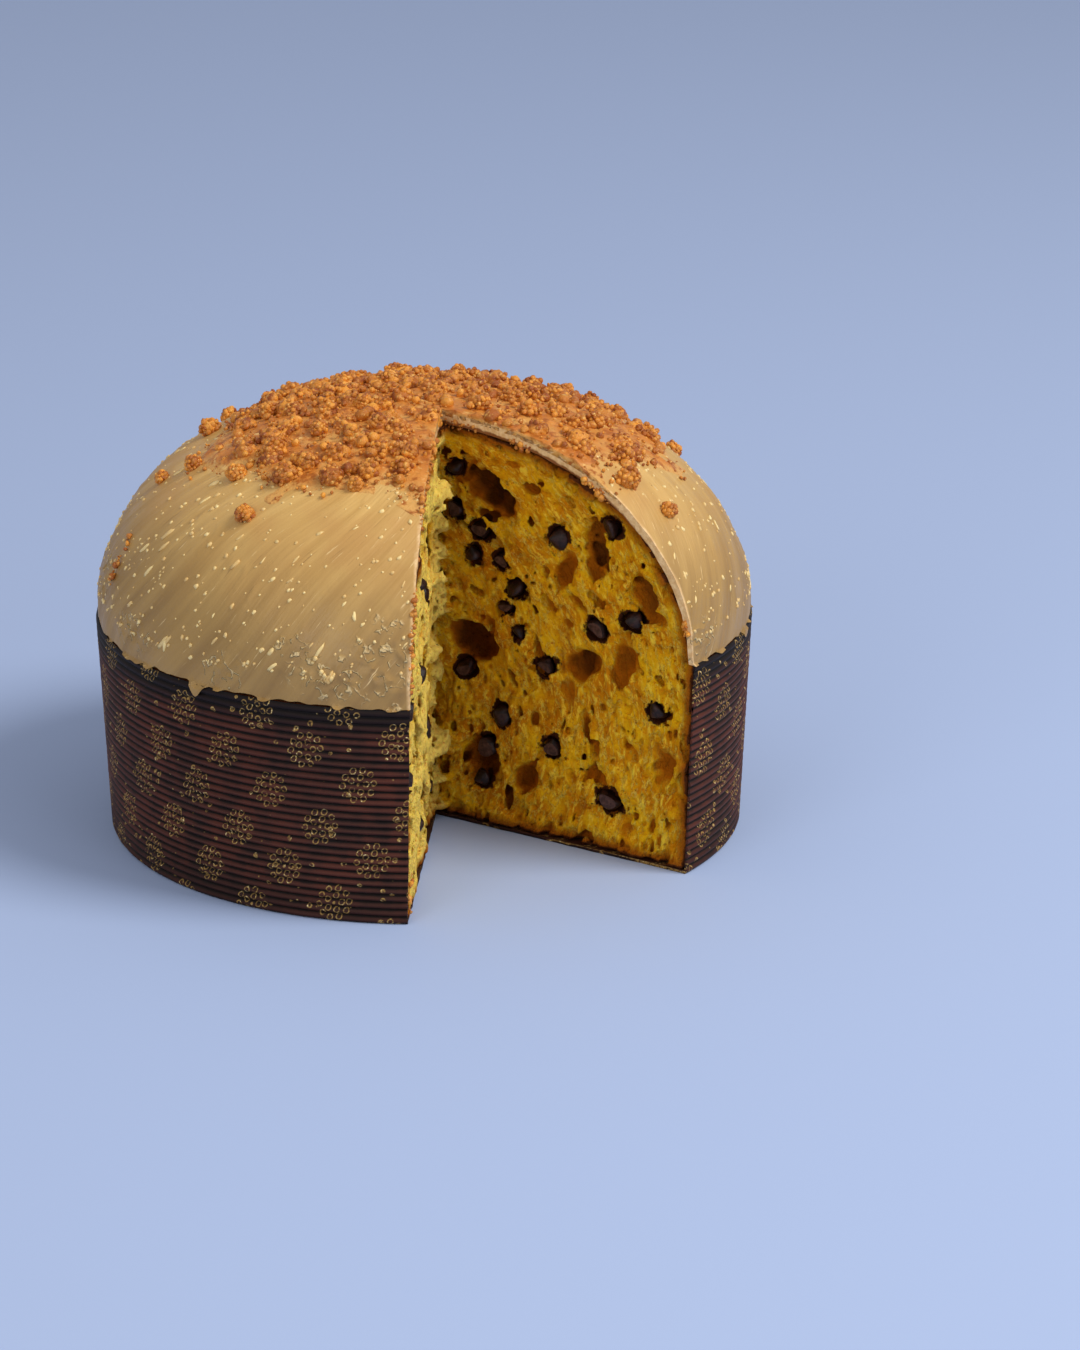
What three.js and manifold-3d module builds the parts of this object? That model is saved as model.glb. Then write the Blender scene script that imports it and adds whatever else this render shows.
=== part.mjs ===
// A low chocolate-chip panettone in its paper case, iced and topped with crumble, with one sixth cut out.
// Millimetres, +Z up. The origin is the middle of the base, and the cut opens towards -Y.
import * as THREE from "three";
import { mergeVertices } from "three/addons/utils/BufferGeometryUtils.js";
import Module from "manifold-3d";

const wasm = await Module();
wasm.setup();

// Driving sizes
const CASE_RADIUS = 105.5; // outside, at the rim
const CASE_BASE_RADIUS = 102;
const CASE_HEIGHT = 70;
const PAPER = 1; // the corrugated paper with its liner
const ICED_HEIGHT = 137.5; // from the table to the top of the icing
const ICING_RADIUS = 105.2; // at the rim, just inside the edge of the case
const ICING_TOP = 4;
const ICING_RIM = 2.4;
const RIGHT = THREE.MathUtils.degToRad(-60.6); // the direction in which each cut face runs out
const LEFT = THREE.MathUtils.degToRad(-120.2);
const CUT_APEX = new THREE.Vector2(1, -5.4); // where the two cut faces meet at the base, in front of the axis
const CUT_LEAN = 0.022; // how far each cut face leans into the gap, for each millimetre of height
const CRUMBLE_RADIUS = 63; // how far the dense crumble reaches from the axis, on average
const CRUMBLE_BED = 1; // the fine crumble that fills the gaps between the nuggets
const BED_EDGE = 8; // over which the bed thins out
const GAP = 0.3; // between pieces that touch
const SEGMENTS = 48;

const BREAD_RADIUS = CASE_RADIUS - PAPER - GAP;
const BREAD_BASE_RADIUS = CASE_BASE_RADIUS - PAPER - GAP;
const APEX_LEAN = CUT_LEAN / Math.sin((RIGHT - LEFT) / 2); // how far their meeting line leans

// A repeatable random source, and a repeatable number from 0 to 1 for a place.
function randomSource(seed) {
  let state = seed;
  return () => {
    state = (state * 16807) % 2147483647;
    return state / 2147483647;
  };
}
function hash(a, b) {
  const wave = Math.sin(Math.round(a * 10) * 12.9898 + Math.round(b * 10) * 78.233) * 43758.5453;
  return wave - Math.floor(wave);
}

// Manifold solids and three.js meshes
function solidOf(geometry) {
  const bare = geometry.clone();
  bare.deleteAttribute("normal");
  bare.deleteAttribute("uv");
  const merged = mergeVertices(bare, 1e-4);
  return new wasm.Manifold(
    new wasm.Mesh({
      numProp: 3,
      vertProperties: merged.attributes.position.array,
      triVerts: new Uint32Array(merged.index.array),
    }),
  );
}
function largestBody(solid) {
  return solid.decompose().reduce((best, body) => (body.volume() > best.volume() ? body : best));
}
function meshOf(name, solid, material) {
  const { vertProperties, triVerts } = solid.getMesh();
  const geometry = new THREE.BufferGeometry();
  geometry.setAttribute("position", new THREE.BufferAttribute(new Float32Array(vertProperties), 3));
  geometry.setIndex(new THREE.BufferAttribute(new Uint32Array(triVerts), 1));
  geometry.computeVertexNormals();
  const mesh = new THREE.Mesh(geometry, material);
  mesh.name = name;
  return mesh;
}

// A closed solid of revolution about Z, from (radius, height) pairs that start and end on the axis.
function turned(points) {
  return new THREE.LatheGeometry(points, SEGMENTS).rotateX(Math.PI / 2);
}

// The dome is a superellipse in section: flat on top, with round shoulders, here from the rim to the axis.
const DOME_POWER = 2.5;
const INNER_STEPS = 7;
const OUTER_STEPS = 10;
function domeSection(radius, top, steps) {
  return Array.from({ length: steps + 1 }, (_, i) => {
    const angle = (i / steps) * (Math.PI / 2);
    const across = i === steps ? 0 : radius * Math.cos(angle) ** (2 / DOME_POWER);
    return new THREE.Vector2(across, CASE_HEIGHT + (top - CASE_HEIGHT) * Math.sin(angle));
  });
}
function bedThickness(distance) {
  return CRUMBLE_BED * THREE.MathUtils.clamp((CRUMBLE_RADIUS - distance) / BED_EDGE, 0, 1);
}
function toppedHeight(distance) {
  const share = Math.min(1, distance / ICING_RADIUS);
  const dome = (ICED_HEIGHT - CASE_HEIGHT) * Math.sqrt(1 - share ** DOME_POWER);
  return CASE_HEIGHT + dome + bedThickness(distance);
}

// The knife's wedge, from below the base to above the crumble, with relief in its two faces.
const WEDGE_LOW = -6;
const WEDGE_HIGH = 156;
const WEDGE_REACH = 128;
const FACE_STEPS = 22;
const FACE_ROWS = 27;
function facePoint(direction, along, height, depth) {
  const inward = direction === RIGHT ? direction + Math.PI / 2 : direction - Math.PI / 2;
  return [
    CUT_APEX.x + along * Math.cos(direction) + depth * Math.cos(inward),
    CUT_APEX.y - APEX_LEAN * height + along * Math.sin(direction) + depth * Math.sin(inward),
    height,
  ];
}
function wedge(steps, rows, relief) {
  const positions = [];
  const triangles = [];
  const loop = 2 * steps + 1;
  const place = (direction, i, height) => {
    const along = (WEDGE_REACH * i) / steps;
    return facePoint(direction, along, height, relief(direction, along, height));
  };
  for (let row = 0; row <= rows; row++) {
    const height = WEDGE_LOW + ((WEDGE_HIGH - WEDGE_LOW) * row) / rows;
    positions.push(...facePoint(RIGHT, 0, height, 0));
    for (let i = 1; i <= steps; i++) positions.push(...place(LEFT, i, height));
    for (let i = steps; i >= 1; i--) positions.push(...place(RIGHT, i, height));
  }
  const quad = (a, b, c, d) => triangles.push(a, b, c, a, c, d);
  for (let row = 0; row < rows; row++) {
    for (let k = 0; k < loop; k++) {
      const next = (k + 1) % loop;
      quad(row * loop + k, row * loop + next, (row + 1) * loop + next, (row + 1) * loop + k);
    }
  }
  const top = rows * loop;
  triangles.push(0, loop - 1, 1, top, top + 1, top + loop - 1);
  for (let i = 1; i < steps; i++) {
    quad(i, loop - i, loop - i - 1, i + 1);
    quad(top + i, top + i + 1, top + loop - i - 1, top + loop - i);
  }
  const geometry = new THREE.BufferGeometry();
  geometry.setAttribute("position", new THREE.BufferAttribute(new Float32Array(positions), 3));
  geometry.setIndex(triangles);
  return solidOf(geometry);
}

// Holes that show in the cut faces: [along, height, half length, half width, tilt in degrees, depth].
const HOLES = new Map([
  [RIGHT, [
    [18.5, 112.5, 12, 5.5, -32, 9],
    [58.5, 100, 8.5, 4.5, -78, 7],
    [47.5, 92.5, 8, 3.5, 85, 4],
    [12, 62, 9, 6.5, -10, 8],
    [77, 88, 9, 4, -60, 5],
    [17, 22, 9, 7, 80, 6],
    [54, 62, 8, 5, 20, 6],
    [70, 66, 9, 4, 80, 5],
    [34, 20, 8, 4, 60, 5],
    [86, 32, 7, 4, 70, 4],
  ]],
  [LEFT, [
    [24, 100, 12, 6, 30, 8],
    [50, 108, 8, 5, -20, 6],
    [72, 84, 11, 5, 70, 6],
    [38, 66, 10, 6, -15, 7],
    [66, 48, 9, 5, 40, 6],
    [20, 38, 8, 5, 75, 6],
    [47, 22, 10, 4.5, -10, 5],
    [84, 26, 8, 4, 60, 5],
  ]],
]);
const CRUMB_ROUGHNESS = 1.1;
function crumbRelief(direction, along, height) {
  const rough = CRUMB_ROUGHNESS * (2 * hash(along, height + direction) - 1);
  return HOLES.get(direction).reduce((depth, [s, z, long, wide, tilt, deep]) => {
    const turn = THREE.MathUtils.degToRad(tilt);
    const u = ((along - s) * Math.cos(turn) + (height - z) * Math.sin(turn)) / long;
    const v = ((height - z) * Math.cos(turn) - (along - s) * Math.sin(turn)) / wide;
    return Math.max(depth, deep * Math.sqrt(Math.max(0, 1 - u * u - v * v)));
  }, rough);
}

// Chocolate drops that show in the cut faces: [along, height, radius]. The knife cut through each second one.
const DROPS = new Map([
  [RIGHT, [
    [44.5, 102, 4.2],
    [15, 100, 4.2],
    [12, 91.5, 3],
    [23.5, 91, 3.6],
    [29, 83, 3.8],
    [25.5, 76, 3.2],
    [30.5, 68.5, 2.8],
    [10, 52.5, 4],
    [24, 39, 4],
    [18.5, 27, 4.6],
    [17, 16, 3.4],
    [41, 59, 3.8],
    [5, 119, 3.4],
    [5, 105, 3.6],
    [64, 109, 3.8],
    [60, 75, 4.4],
    [73, 80, 4],
    [66, 18, 4.6],
    [83, 52, 3.8],
    [44, 32, 4],
  ]],
  [LEFT, [
    [12, 112, 3.8],
    [37, 88, 4],
    [62, 99, 3.6],
    [86, 66, 4],
    [58, 68, 4.2],
    [14, 60, 3.8],
    [34, 42, 4],
    [86, 44, 3.6],
    [64, 20, 4.2],
    [16, 16, 4],
  ]],
]);
const DROP_SECTION = [
  [0, 0], [0.92, 0], [1, 0.22], [0.78, 0.72], [0.3, 1.15], [0, 1.32],
]; // share of the drop's radius: a flat base, a round belly and a short tip
const DROP_SIDES = 6;
const DROP_MIDDLE = 0.5; // the height in the section about which a drop is turned
const DROP_DEPTH = 0.45; // how far behind the cut that middle lies, as a share of the radius
const FULL_TURN = 2 * Math.PI;

// One drop at its place in a face, turned at random, grown by a margin for the pocket that it sits in.
function drop(direction, index, margin) {
  const [along, height, radius] = DROPS.get(direction)[index];
  const random = randomSource(Math.round(along * 100 + height));
  const points = DROP_SECTION.map(([r, h]) => new THREE.Vector2(r, h - DROP_MIDDLE));
  const geometry = new THREE.LatheGeometry(points, DROP_SIDES);
  const turn = new THREE.Euler(FULL_TURN * random(), FULL_TURN * random(), FULL_TURN * random());
  geometry.applyMatrix4(new THREE.Matrix4().makeRotationFromEuler(turn));
  geometry.scale(radius + margin, radius + margin, radius + margin);
  geometry.translate(...facePoint(direction, along, height, DROP_DEPTH * radius));
  return solidOf(geometry);
}

// Crumble nuggets that lie apart at the edge: [azimuth in degrees, distance from the axis, radius].
const FRINGE = [
  [-156, 64.5, 4.4],
  [-169, 57, 4],
  [-153, 58, 3.7],
  [-142, 62, 4],
  [-158, 80, 3],
  [-134, 63, 2.4],
  [-172, 69, 3],
  [-56, 74, 4.4],
  [-46, 67, 3.8],
  [-53, 86, 2.7],
  [-20, 72.5, 3],
  [-2, 88, 3],
  [14, 70, 3.6],
  [33, 78, 3],
  [52, 71, 4],
  [75, 84, 2.8],
  [88, 92, 2.4],
  [98, 72, 3.8],
  [121, 76, 3.2],
  [142, 70, 3.6],
  [161, 83, 2.2],
  [168, 74, 3],
];
const NUGGETS = 84; // in the dense crumble
const PERCHED = 18; // small ones that sit on top of it
const GOLDEN_ANGLE = Math.PI * (3 - Math.sqrt(5));
const SIT = 0.35; // how far a nugget's middle is above what it sits on, as a share of its radius

// The dense crumble's edge has lobes, reaches further on the right of the cut, and runs out in two tongues.
const LEAN = { by: 7, towards: -0.52 };
const LOBES = { by: 4.5, count: 9, phase: 1.47 };
const TONGUES = [
  { by: 11, towards: 3.04, narrow: 12 },
  { by: 6, towards: -0.26, narrow: 20 },
];
function crumbleReach(angle) {
  const lean = LEAN.by * Math.cos(angle - LEAN.towards);
  const lobes = LOBES.by * Math.cos(LOBES.count * angle - LOBES.phase);
  const tongue = ({ by, towards, narrow }) => by * ((1 + Math.cos(angle - towards)) / 2) ** narrow;
  return TONGUES.reduce((reach, each) => reach + tongue(each), CRUMBLE_RADIUS + lean + lobes);
}

// Every nugget as [x, y, radius, lift]: the fringe, then the dense ones on a sunflower spiral, then the top.
function nuggetPlaces() {
  const random = randomSource(2024);
  const places = FRINGE.map(([azimuth, distance, radius]) => {
    const angle = THREE.MathUtils.degToRad(azimuth);
    return [distance * Math.cos(angle), distance * Math.sin(angle), radius, SIT * radius];
  });
  for (let i = 0; i < NUGGETS + PERCHED; i++) {
    const perched = i >= NUGGETS;
    const share = perched ? (0.8 * (i - NUGGETS + 0.5)) / PERCHED : (i + 0.5) / NUGGETS;
    const angle = i * GOLDEN_ANGLE + 0.3 * (random() - 0.5);
    const distance = crumbleReach(angle) * Math.sqrt(share) + 4 * (random() - 0.5);
    const radius = perched ? 2.4 + 0.9 * random() : 3.8 + 1.4 * random();
    const lift = perched ? 0.9 + 0.6 * random() : -0.3 * radius * random();
    places.push([distance * Math.cos(angle), distance * Math.sin(angle), radius, lift]);
  }
  return places;
}
function nugget([x, y, radius, lift], seed) {
  const geometry = new THREE.IcosahedronGeometry(radius, 0);
  geometry.rotateX(seed).rotateZ(seed * 2.3);
  geometry.scale(1 + 0.12 * Math.sin(seed * 5), 1, 1 - 0.1 * Math.cos(seed * 7));
  geometry.translate(x, y, toppedHeight(Math.hypot(x, y)) + lift);
  return solidOf(geometry);
}

// Materials
const finish = (color, roughness) => new THREE.MeshStandardMaterial({ color, roughness, metalness: 0 });
const crumbFinish = finish(0xe0ac35, 0.85);
const icingFinish = finish(0xbd9a66, 0.45);
const paperFinish = finish(0x38211d, 0.7);
const chocolateFinish = finish(0x2c1611, 0.4);

// The bread: its side in the case, a ledge under the icing, then the dome.
function bread() {
  const dome = domeSection(ICING_RADIUS - ICING_RIM - GAP, ICED_HEIGHT - ICING_TOP - GAP, INNER_STEPS);
  const points = [
    new THREE.Vector2(0, PAPER + GAP),
    new THREE.Vector2(BREAD_BASE_RADIUS, PAPER + GAP),
    new THREE.Vector2(BREAD_RADIUS, CASE_HEIGHT - GAP),
    ...dome,
  ];
  return solidOf(turned(points)).subtract(wedge(FACE_STEPS, FACE_ROWS, crumbRelief));
}

// The icing with its crumble: everything between the outer dome and the bread's.
function icing() {
  const floor = CASE_HEIGHT + GAP;
  const outside = domeSection(ICING_RADIUS, ICED_HEIGHT, OUTER_STEPS);
  const raised = outside.map((p) => new THREE.Vector2(p.x, Math.max(p.y, floor) + bedThickness(p.x)));
  const shell = solidOf(turned([new THREE.Vector2(0, floor), ...raised]));
  const inside = domeSection(ICING_RADIUS - ICING_RIM, ICED_HEIGHT - ICING_TOP, INNER_STEPS);
  const inner = [new THREE.Vector2(0, 0), new THREE.Vector2(ICING_RADIUS - ICING_RIM, 0), ...inside];
  const topped = nuggetPlaces().reduce((body, place, i) => body.add(nugget(place, i)), shell);
  return topped.subtract(solidOf(turned(inner)));
}

function paperCase() {
  const points = [
    [0, 0],
    [CASE_BASE_RADIUS, 0],
    [CASE_RADIUS, CASE_HEIGHT],
    [CASE_RADIUS - PAPER, CASE_HEIGHT],
    [CASE_BASE_RADIUS - PAPER, PAPER],
    [0, PAPER],
  ];
  return solidOf(turned(points.map(([r, h]) => new THREE.Vector2(r, h))));
}

// The whole cake
const panettone = new THREE.Group();
const cleanCut = wedge(1, 1, () => 0);
let crumb = bread();
for (const [side, direction] of [["right", RIGHT], ["left", LEFT]]) {
  DROPS.get(direction).forEach((_, i) => {
    crumb = crumb.subtract(drop(direction, i, GAP));
    const whole = drop(direction, i, 0);
    const shown = i % 2 ? whole.subtract(cleanCut) : whole;
    panettone.add(meshOf(`chip_${side}_${i + 1}`, shown, chocolateFinish));
  });
}
panettone.add(meshOf("crumb", largestBody(crumb), crumbFinish));
panettone.add(meshOf("icing", largestBody(icing().subtract(cleanCut)), icingFinish));
panettone.add(meshOf("paper_case", paperCase().subtract(cleanCut), paperFinish));

export default panettone;
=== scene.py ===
# %% [markdown]
# # A cut-open panettone in its paper case
#
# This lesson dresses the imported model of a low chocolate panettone: a golden bread in a
# corrugated paper case, coated with coffee-coloured icing, topped with brown crumble, and
# cut open by one sixth. Each step first says what the piece is on the real cake, how it
# could be made and why it is made this way. Sizes are in millimetres until a mesh is
# written, because a cake is measured in millimetres, and Blender works in metres.

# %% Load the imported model
import math

import bpy
import numpy as np
from mathutils import Matrix, Vector


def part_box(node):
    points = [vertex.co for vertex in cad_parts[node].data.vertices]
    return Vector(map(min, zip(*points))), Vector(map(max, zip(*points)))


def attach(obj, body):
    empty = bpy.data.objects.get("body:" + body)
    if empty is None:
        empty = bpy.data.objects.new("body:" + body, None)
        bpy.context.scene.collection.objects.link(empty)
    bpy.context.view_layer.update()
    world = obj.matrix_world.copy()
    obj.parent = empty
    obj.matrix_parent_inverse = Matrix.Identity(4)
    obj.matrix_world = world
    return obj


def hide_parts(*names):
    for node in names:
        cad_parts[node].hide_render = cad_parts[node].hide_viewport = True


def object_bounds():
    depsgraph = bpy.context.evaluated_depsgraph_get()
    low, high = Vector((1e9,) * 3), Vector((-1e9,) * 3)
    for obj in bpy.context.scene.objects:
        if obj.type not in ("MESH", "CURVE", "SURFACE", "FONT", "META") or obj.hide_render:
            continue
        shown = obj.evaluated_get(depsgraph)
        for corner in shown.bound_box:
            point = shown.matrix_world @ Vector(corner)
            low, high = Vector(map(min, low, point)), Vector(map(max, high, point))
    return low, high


MM = 0.001
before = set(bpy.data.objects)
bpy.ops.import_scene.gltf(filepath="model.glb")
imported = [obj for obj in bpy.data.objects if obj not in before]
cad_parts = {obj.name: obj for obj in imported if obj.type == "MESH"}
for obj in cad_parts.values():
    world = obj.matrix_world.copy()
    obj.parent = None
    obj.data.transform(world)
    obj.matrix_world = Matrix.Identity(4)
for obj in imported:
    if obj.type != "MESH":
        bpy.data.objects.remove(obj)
cad_low, cad_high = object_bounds()
bpy.ops.object.select_all(action="DESELECT")
print("the packed model reaches from", tuple(cad_low), "to", tuple(cad_high))

# %% [markdown]
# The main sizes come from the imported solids. The case gives the rim, and the bread gives
# its own top. The icing lies on the bread, four millimetres thick on top and thinner at
# the rim, and the dome under it is a superellipse in section: flat on top, with round
# shoulders.

# %% Sizes of the cake
case_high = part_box("paper_case")[1]
bread_low, bread_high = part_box("crumb")
CASE_RADIUS = case_high.y / MM
CASE_HEIGHT = case_high.z / MM
CASE_BASE_RADIUS = CASE_RADIUS - 3.5
BREAD_TOP = bread_high.z / MM
BREAD_FOOT = bread_low.z / MM
GAP = 0.3
PAPER = 1.0
ICING_TOP = 4.0
ICING_RIM = 2.4
ICING_RADIUS = CASE_RADIUS - GAP
ICED_HEIGHT = BREAD_TOP + GAP + ICING_TOP
BREAD_RADIUS = ICING_RADIUS - ICING_RIM - GAP
DOME_POWER = 2.5
print(f"case {CASE_RADIUS:.1f} by {CASE_HEIGHT:.1f} mm, iced height {ICED_HEIGHT:.1f} mm")

# %% [markdown]
# The knife made two nearly upright cuts that meet in front of the middle. Each cut face
# has its own directions: along the face from where the two meet, up, and into the bread.
# Nearly everything in the cut is placed in those three numbers, so two small functions
# turn them into a place in the cake and back.

# %% The two cuts
RIGHT = math.radians(-60.6)
LEFT = math.radians(-120.2)
SIDES = (("right", RIGHT), ("left", LEFT))
CUT_MEETS = np.array([1.0, -5.4])
CUT_LEAN = 0.022
HALF_GAP = (RIGHT - LEFT) / 2
APEX_LEAN = CUT_LEAN / math.sin(HALF_GAP)


def inward(direction):
    """The level direction that points from a cut face into the bread."""
    return direction + math.copysign(math.pi / 2, direction - (RIGHT + LEFT) / 2)


def in_face(direction, along, height, depth):
    """Places in the cake for places that are given along, up and into a cut face."""
    into = inward(direction)
    along, height, depth = np.broadcast_arrays(along, height, depth)
    x = CUT_MEETS[0] + along * math.cos(direction) + depth * math.cos(into)
    y = CUT_MEETS[1] - APEX_LEAN * height
    y = y + along * math.sin(direction) + depth * math.sin(into)
    return np.stack([x, y, height], axis=-1).astype(float)


def from_face(direction, points):
    """How far along a cut face and how far into the bread points are."""
    into = inward(direction)
    x = points[..., 0] - CUT_MEETS[0]
    y = points[..., 1] - CUT_MEETS[1] + APEX_LEAN * points[..., 2]
    along = x * math.cos(direction) + y * math.sin(direction)
    depth = x * math.cos(into) + y * math.sin(into)
    return along, depth


def gap_depth(points):
    """How deep in the bread's side of the cuts points are; negative in the gap."""
    return np.maximum(from_face(RIGHT, points)[1], from_face(LEFT, points)[1])


print("the cut opens by", round(math.degrees(2 * HALF_GAP), 1), "degrees")

# %% [markdown]
# Baked and spread things are never even, so most pieces need smooth noise: a repeatable
# random number for each cell of a lattice, blended between the cells. The same numbers
# come out on every run.

# %% Noise
PRIMES = (73856093, 19349663, 83492791)


def lattice(cells, seed):
    """A repeatable random number from 0 to 1 for each cell with whole-number places."""
    mixed = cells[..., 0] * PRIMES[0] ^ cells[..., 1] * PRIMES[1] ^ cells[..., 2] * PRIMES[2]
    mixed = (mixed ^ (seed * 374761393 + 668265263)) & 0xFFFFFFFF
    mixed = ((mixed ^ (mixed >> 15)) * 2246822519) & 0xFFFFFFFF
    mixed = ((mixed ^ (mixed >> 13)) * 3266489917) & 0xFFFFFFFF
    return ((mixed ^ (mixed >> 16)) & 0xFFFFFF) / 0xFFFFFF


def noise(points, size, seed=0):
    """Smooth noise from -1 to 1 with bumps about size apart, for places in millimetres."""
    scaled = np.asarray(points, float) / size
    low = np.floor(scaled).astype(np.int64)
    share = scaled - low
    share = share * share * (3 - 2 * share)
    total = 0.0
    for corner in np.ndindex(2, 2, 2):
        weight = np.prod(np.where(corner, share, 1 - share), axis=-1)
        total = total + weight * lattice(low + np.array(corner), seed)
    return 2 * total - 1


def from_axis(points):
    """How far places are from the cake's axis."""
    return np.hypot(points[..., 0], points[..., 1])


def round_axis(distance, angle, height):
    """Places at a distance from the axis, an angle round it and a height."""
    return np.stack([distance * np.cos(angle), distance * np.sin(angle), height], axis=-1)


def blend(low, high, value):
    """0 below low, 1 above high, and smooth in between."""
    share = np.clip((value - low) / (high - low), 0, 1)
    return share * share * (3 - 2 * share)


# %% [markdown]
# A few helpers do what is done by hand for every piece: read and move all points of a
# mesh, turn its faces outwards, apply a modifier, cut with another mesh, and hand the
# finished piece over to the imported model's one body.

# %% Helpers for meshes
def activate(obj):
    """Makes obj the only selected object and the active one."""
    bpy.ops.object.select_all(action="DESELECT")
    obj.select_set(True)
    bpy.context.view_layer.objects.active = obj
    return obj


def points_of(obj):
    """The mesh's points in millimetres, one row each."""
    flat = np.empty(len(obj.data.vertices) * 3)
    obj.data.vertices.foreach_get("co", flat)
    return flat.reshape(-1, 3) / MM


def move_points(obj, points):
    """Puts the mesh's points at places in millimetres."""
    obj.data.vertices.foreach_set("co", (points * MM).ravel())
    obj.data.update()


def mesh_from(name, points, faces):
    """A new object from places in millimetres and the faces between them."""
    mesh = bpy.data.meshes.new(name)
    mesh.from_pydata((np.asarray(points) * MM).tolist(), [], [tuple(face) for face in faces])
    obj = bpy.data.objects.new(name, mesh)
    bpy.context.scene.collection.objects.link(obj)
    return activate(obj)


def face_outwards(obj):
    """Turns all faces of a closed mesh outwards."""
    activate(obj)
    bpy.ops.object.mode_set(mode="EDIT")
    bpy.ops.mesh.select_all(action="SELECT")
    bpy.ops.mesh.normals_make_consistent(inside=False)
    bpy.ops.object.mode_set(mode="OBJECT")
    return obj


def apply_modifier(obj, kind, **settings):
    """Adds a modifier and applies it at once."""
    activate(obj)
    modifier = obj.modifiers.new(kind.lower(), kind)
    for name, value in settings.items():
        setattr(modifier, name, value)
    bpy.ops.object.modifier_apply(modifier=modifier.name)


def carve(obj, tool):
    """Cuts a closed tool out of obj and removes the tool."""
    apply_modifier(obj, "BOOLEAN", operation="DIFFERENCE", object=tool, solver="MANIFOLD")
    bpy.data.objects.remove(tool)


def store(obj, name, values):
    """Keeps one number for each point, which a material can read by its name."""
    attribute = obj.data.attributes.new(name, "FLOAT", "POINT")
    attribute.data.foreach_set("value", np.asarray(values, np.float32))


def triangle_count(obj):
    """How many triangles the faces make."""
    return sum(len(polygon.vertices) - 2 for polygon in obj.data.polygons)


def finish_piece(obj, material, slot, *nodes):
    """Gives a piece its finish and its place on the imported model."""
    obj.data.materials.clear()
    obj.data.materials.append(material)
    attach(obj, "root")
    if nodes:
        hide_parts(*nodes)
    print(obj.name, "has", triangle_count(obj), "triangles")
    return obj


# %% [markdown]
# Bread, icing, case and drops are all turned shapes: a section spun round an axis. The
# section starts as a plain circle of points. The points are put where the section wants
# them, and the spin operator does the rest. Every section here starts and ends on the
# axis, so the circle is opened there first, and the doubles that the spin leaves are
# merged.

# %% Turned shapes
def turned(name, section, steps):
    """A closed turned shape from (radius, height) pairs in millimetres."""
    bpy.ops.mesh.primitive_circle_add(vertices=len(section), fill_type="NOTHING")
    obj = activate(bpy.context.object)
    obj.name = obj.data.name = name
    radius, height = np.asarray(section, float).T
    move_points(obj, np.stack([radius, np.zeros(len(section)), height], axis=-1))
    bpy.ops.object.mode_set(mode="EDIT")
    bpy.ops.mesh.select_mode(type="EDGE")
    bpy.ops.mesh.select_all(action="DESELECT")
    bpy.ops.object.mode_set(mode="OBJECT")
    ends = {0, len(section) - 1}
    for edge in obj.data.edges:
        edge.select = set(edge.vertices) == ends
    bpy.ops.object.mode_set(mode="EDIT")
    bpy.ops.mesh.delete(type="EDGE")
    bpy.ops.mesh.select_all(action="SELECT")
    bpy.ops.mesh.spin(steps=steps, angle=2 * math.pi, center=(0, 0, 0), axis=(0, 0, 1))
    bpy.ops.mesh.select_all(action="SELECT")
    bpy.ops.mesh.remove_doubles(threshold=1e-6)
    bpy.ops.mesh.normals_make_consistent(inside=False)
    bpy.ops.object.mode_set(mode="OBJECT")
    return obj


def dome_section(radius, top, steps):
    """The dome from the rim to the axis, with points close together on the shoulder."""
    angle = np.linspace(0, math.pi / 2, steps + 1)
    across = radius * np.cos(angle).clip(0) ** (2 / DOME_POWER)
    across[-1] = 0
    return np.stack([across, CASE_HEIGHT + (top - CASE_HEIGHT) * np.sin(angle)], axis=-1)


def outside_dome(points, radius, top):
    """About how far points lie outside a dome, in millimetres; negative within it."""
    dome = top - CASE_HEIGHT
    share = from_axis(points) / radius
    rise = np.clip((points[..., 2] - CASE_HEIGHT) / dome, 0, None)
    value = share**DOME_POWER + rise**2 - 1
    slope = np.hypot(DOME_POWER * share ** (DOME_POWER - 1) / radius, 2 * rise / dome)
    return value / np.maximum(slope, 0.004)


def dome_height(distance):
    """The height of the icing's surface at a distance from the axis."""
    share = np.clip(distance / ICING_RADIUS, 0, 1)
    return CASE_HEIGHT + (ICED_HEIGHT - CASE_HEIGHT) * np.sqrt(1 - share**DOME_POWER)


# %% [markdown]
# One tool cuts all pieces: a closed wedge that fills the missing slice. Its two faces are
# grids, so they can be made slightly rough, as a knife leaves them in icing and paper,
# and they can be moved into the cake.

# %% The knife
KNIFE_LOW, KNIFE_HIGH, KNIFE_REACH = -6.0, 156.0, 128.0


def knife(depth=0.0, roughness=0.0, spacing=1.6):
    """The wedge that the missing slice leaves, with its faces moved inwards by depth."""
    start = -depth / math.tan(HALF_GAP)
    columns = int(KNIFE_REACH / spacing) if roughness else 1
    rows = int((KNIFE_HIGH - KNIFE_LOW) / spacing) if roughness else 1
    alongs = np.linspace(start, KNIFE_REACH, columns + 1)
    loops = []
    for height in np.linspace(KNIFE_LOW, KNIFE_HIGH, rows + 1):
        sides = []
        for direction in (LEFT, RIGHT):
            rough = roughness * noise(in_face(direction, alongs, height, depth), 2.2, 5)
            rough[0] = 0
            sides.append(in_face(direction, alongs, height, depth + rough))
        loops.append(np.concatenate([sides[0], sides[1][:0:-1]]))
    loop = 2 * columns + 1
    faces = [range(loop), range(rows * loop, (rows + 1) * loop)]
    for row in range(rows):
        for k in range(loop):
            a, b = row * loop + k, row * loop + (k + 1) % loop
            faces.append((a, b, b + loop, a + loop))
    return face_outwards(mesh_from("knife", np.concatenate(loops), faces))


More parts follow.
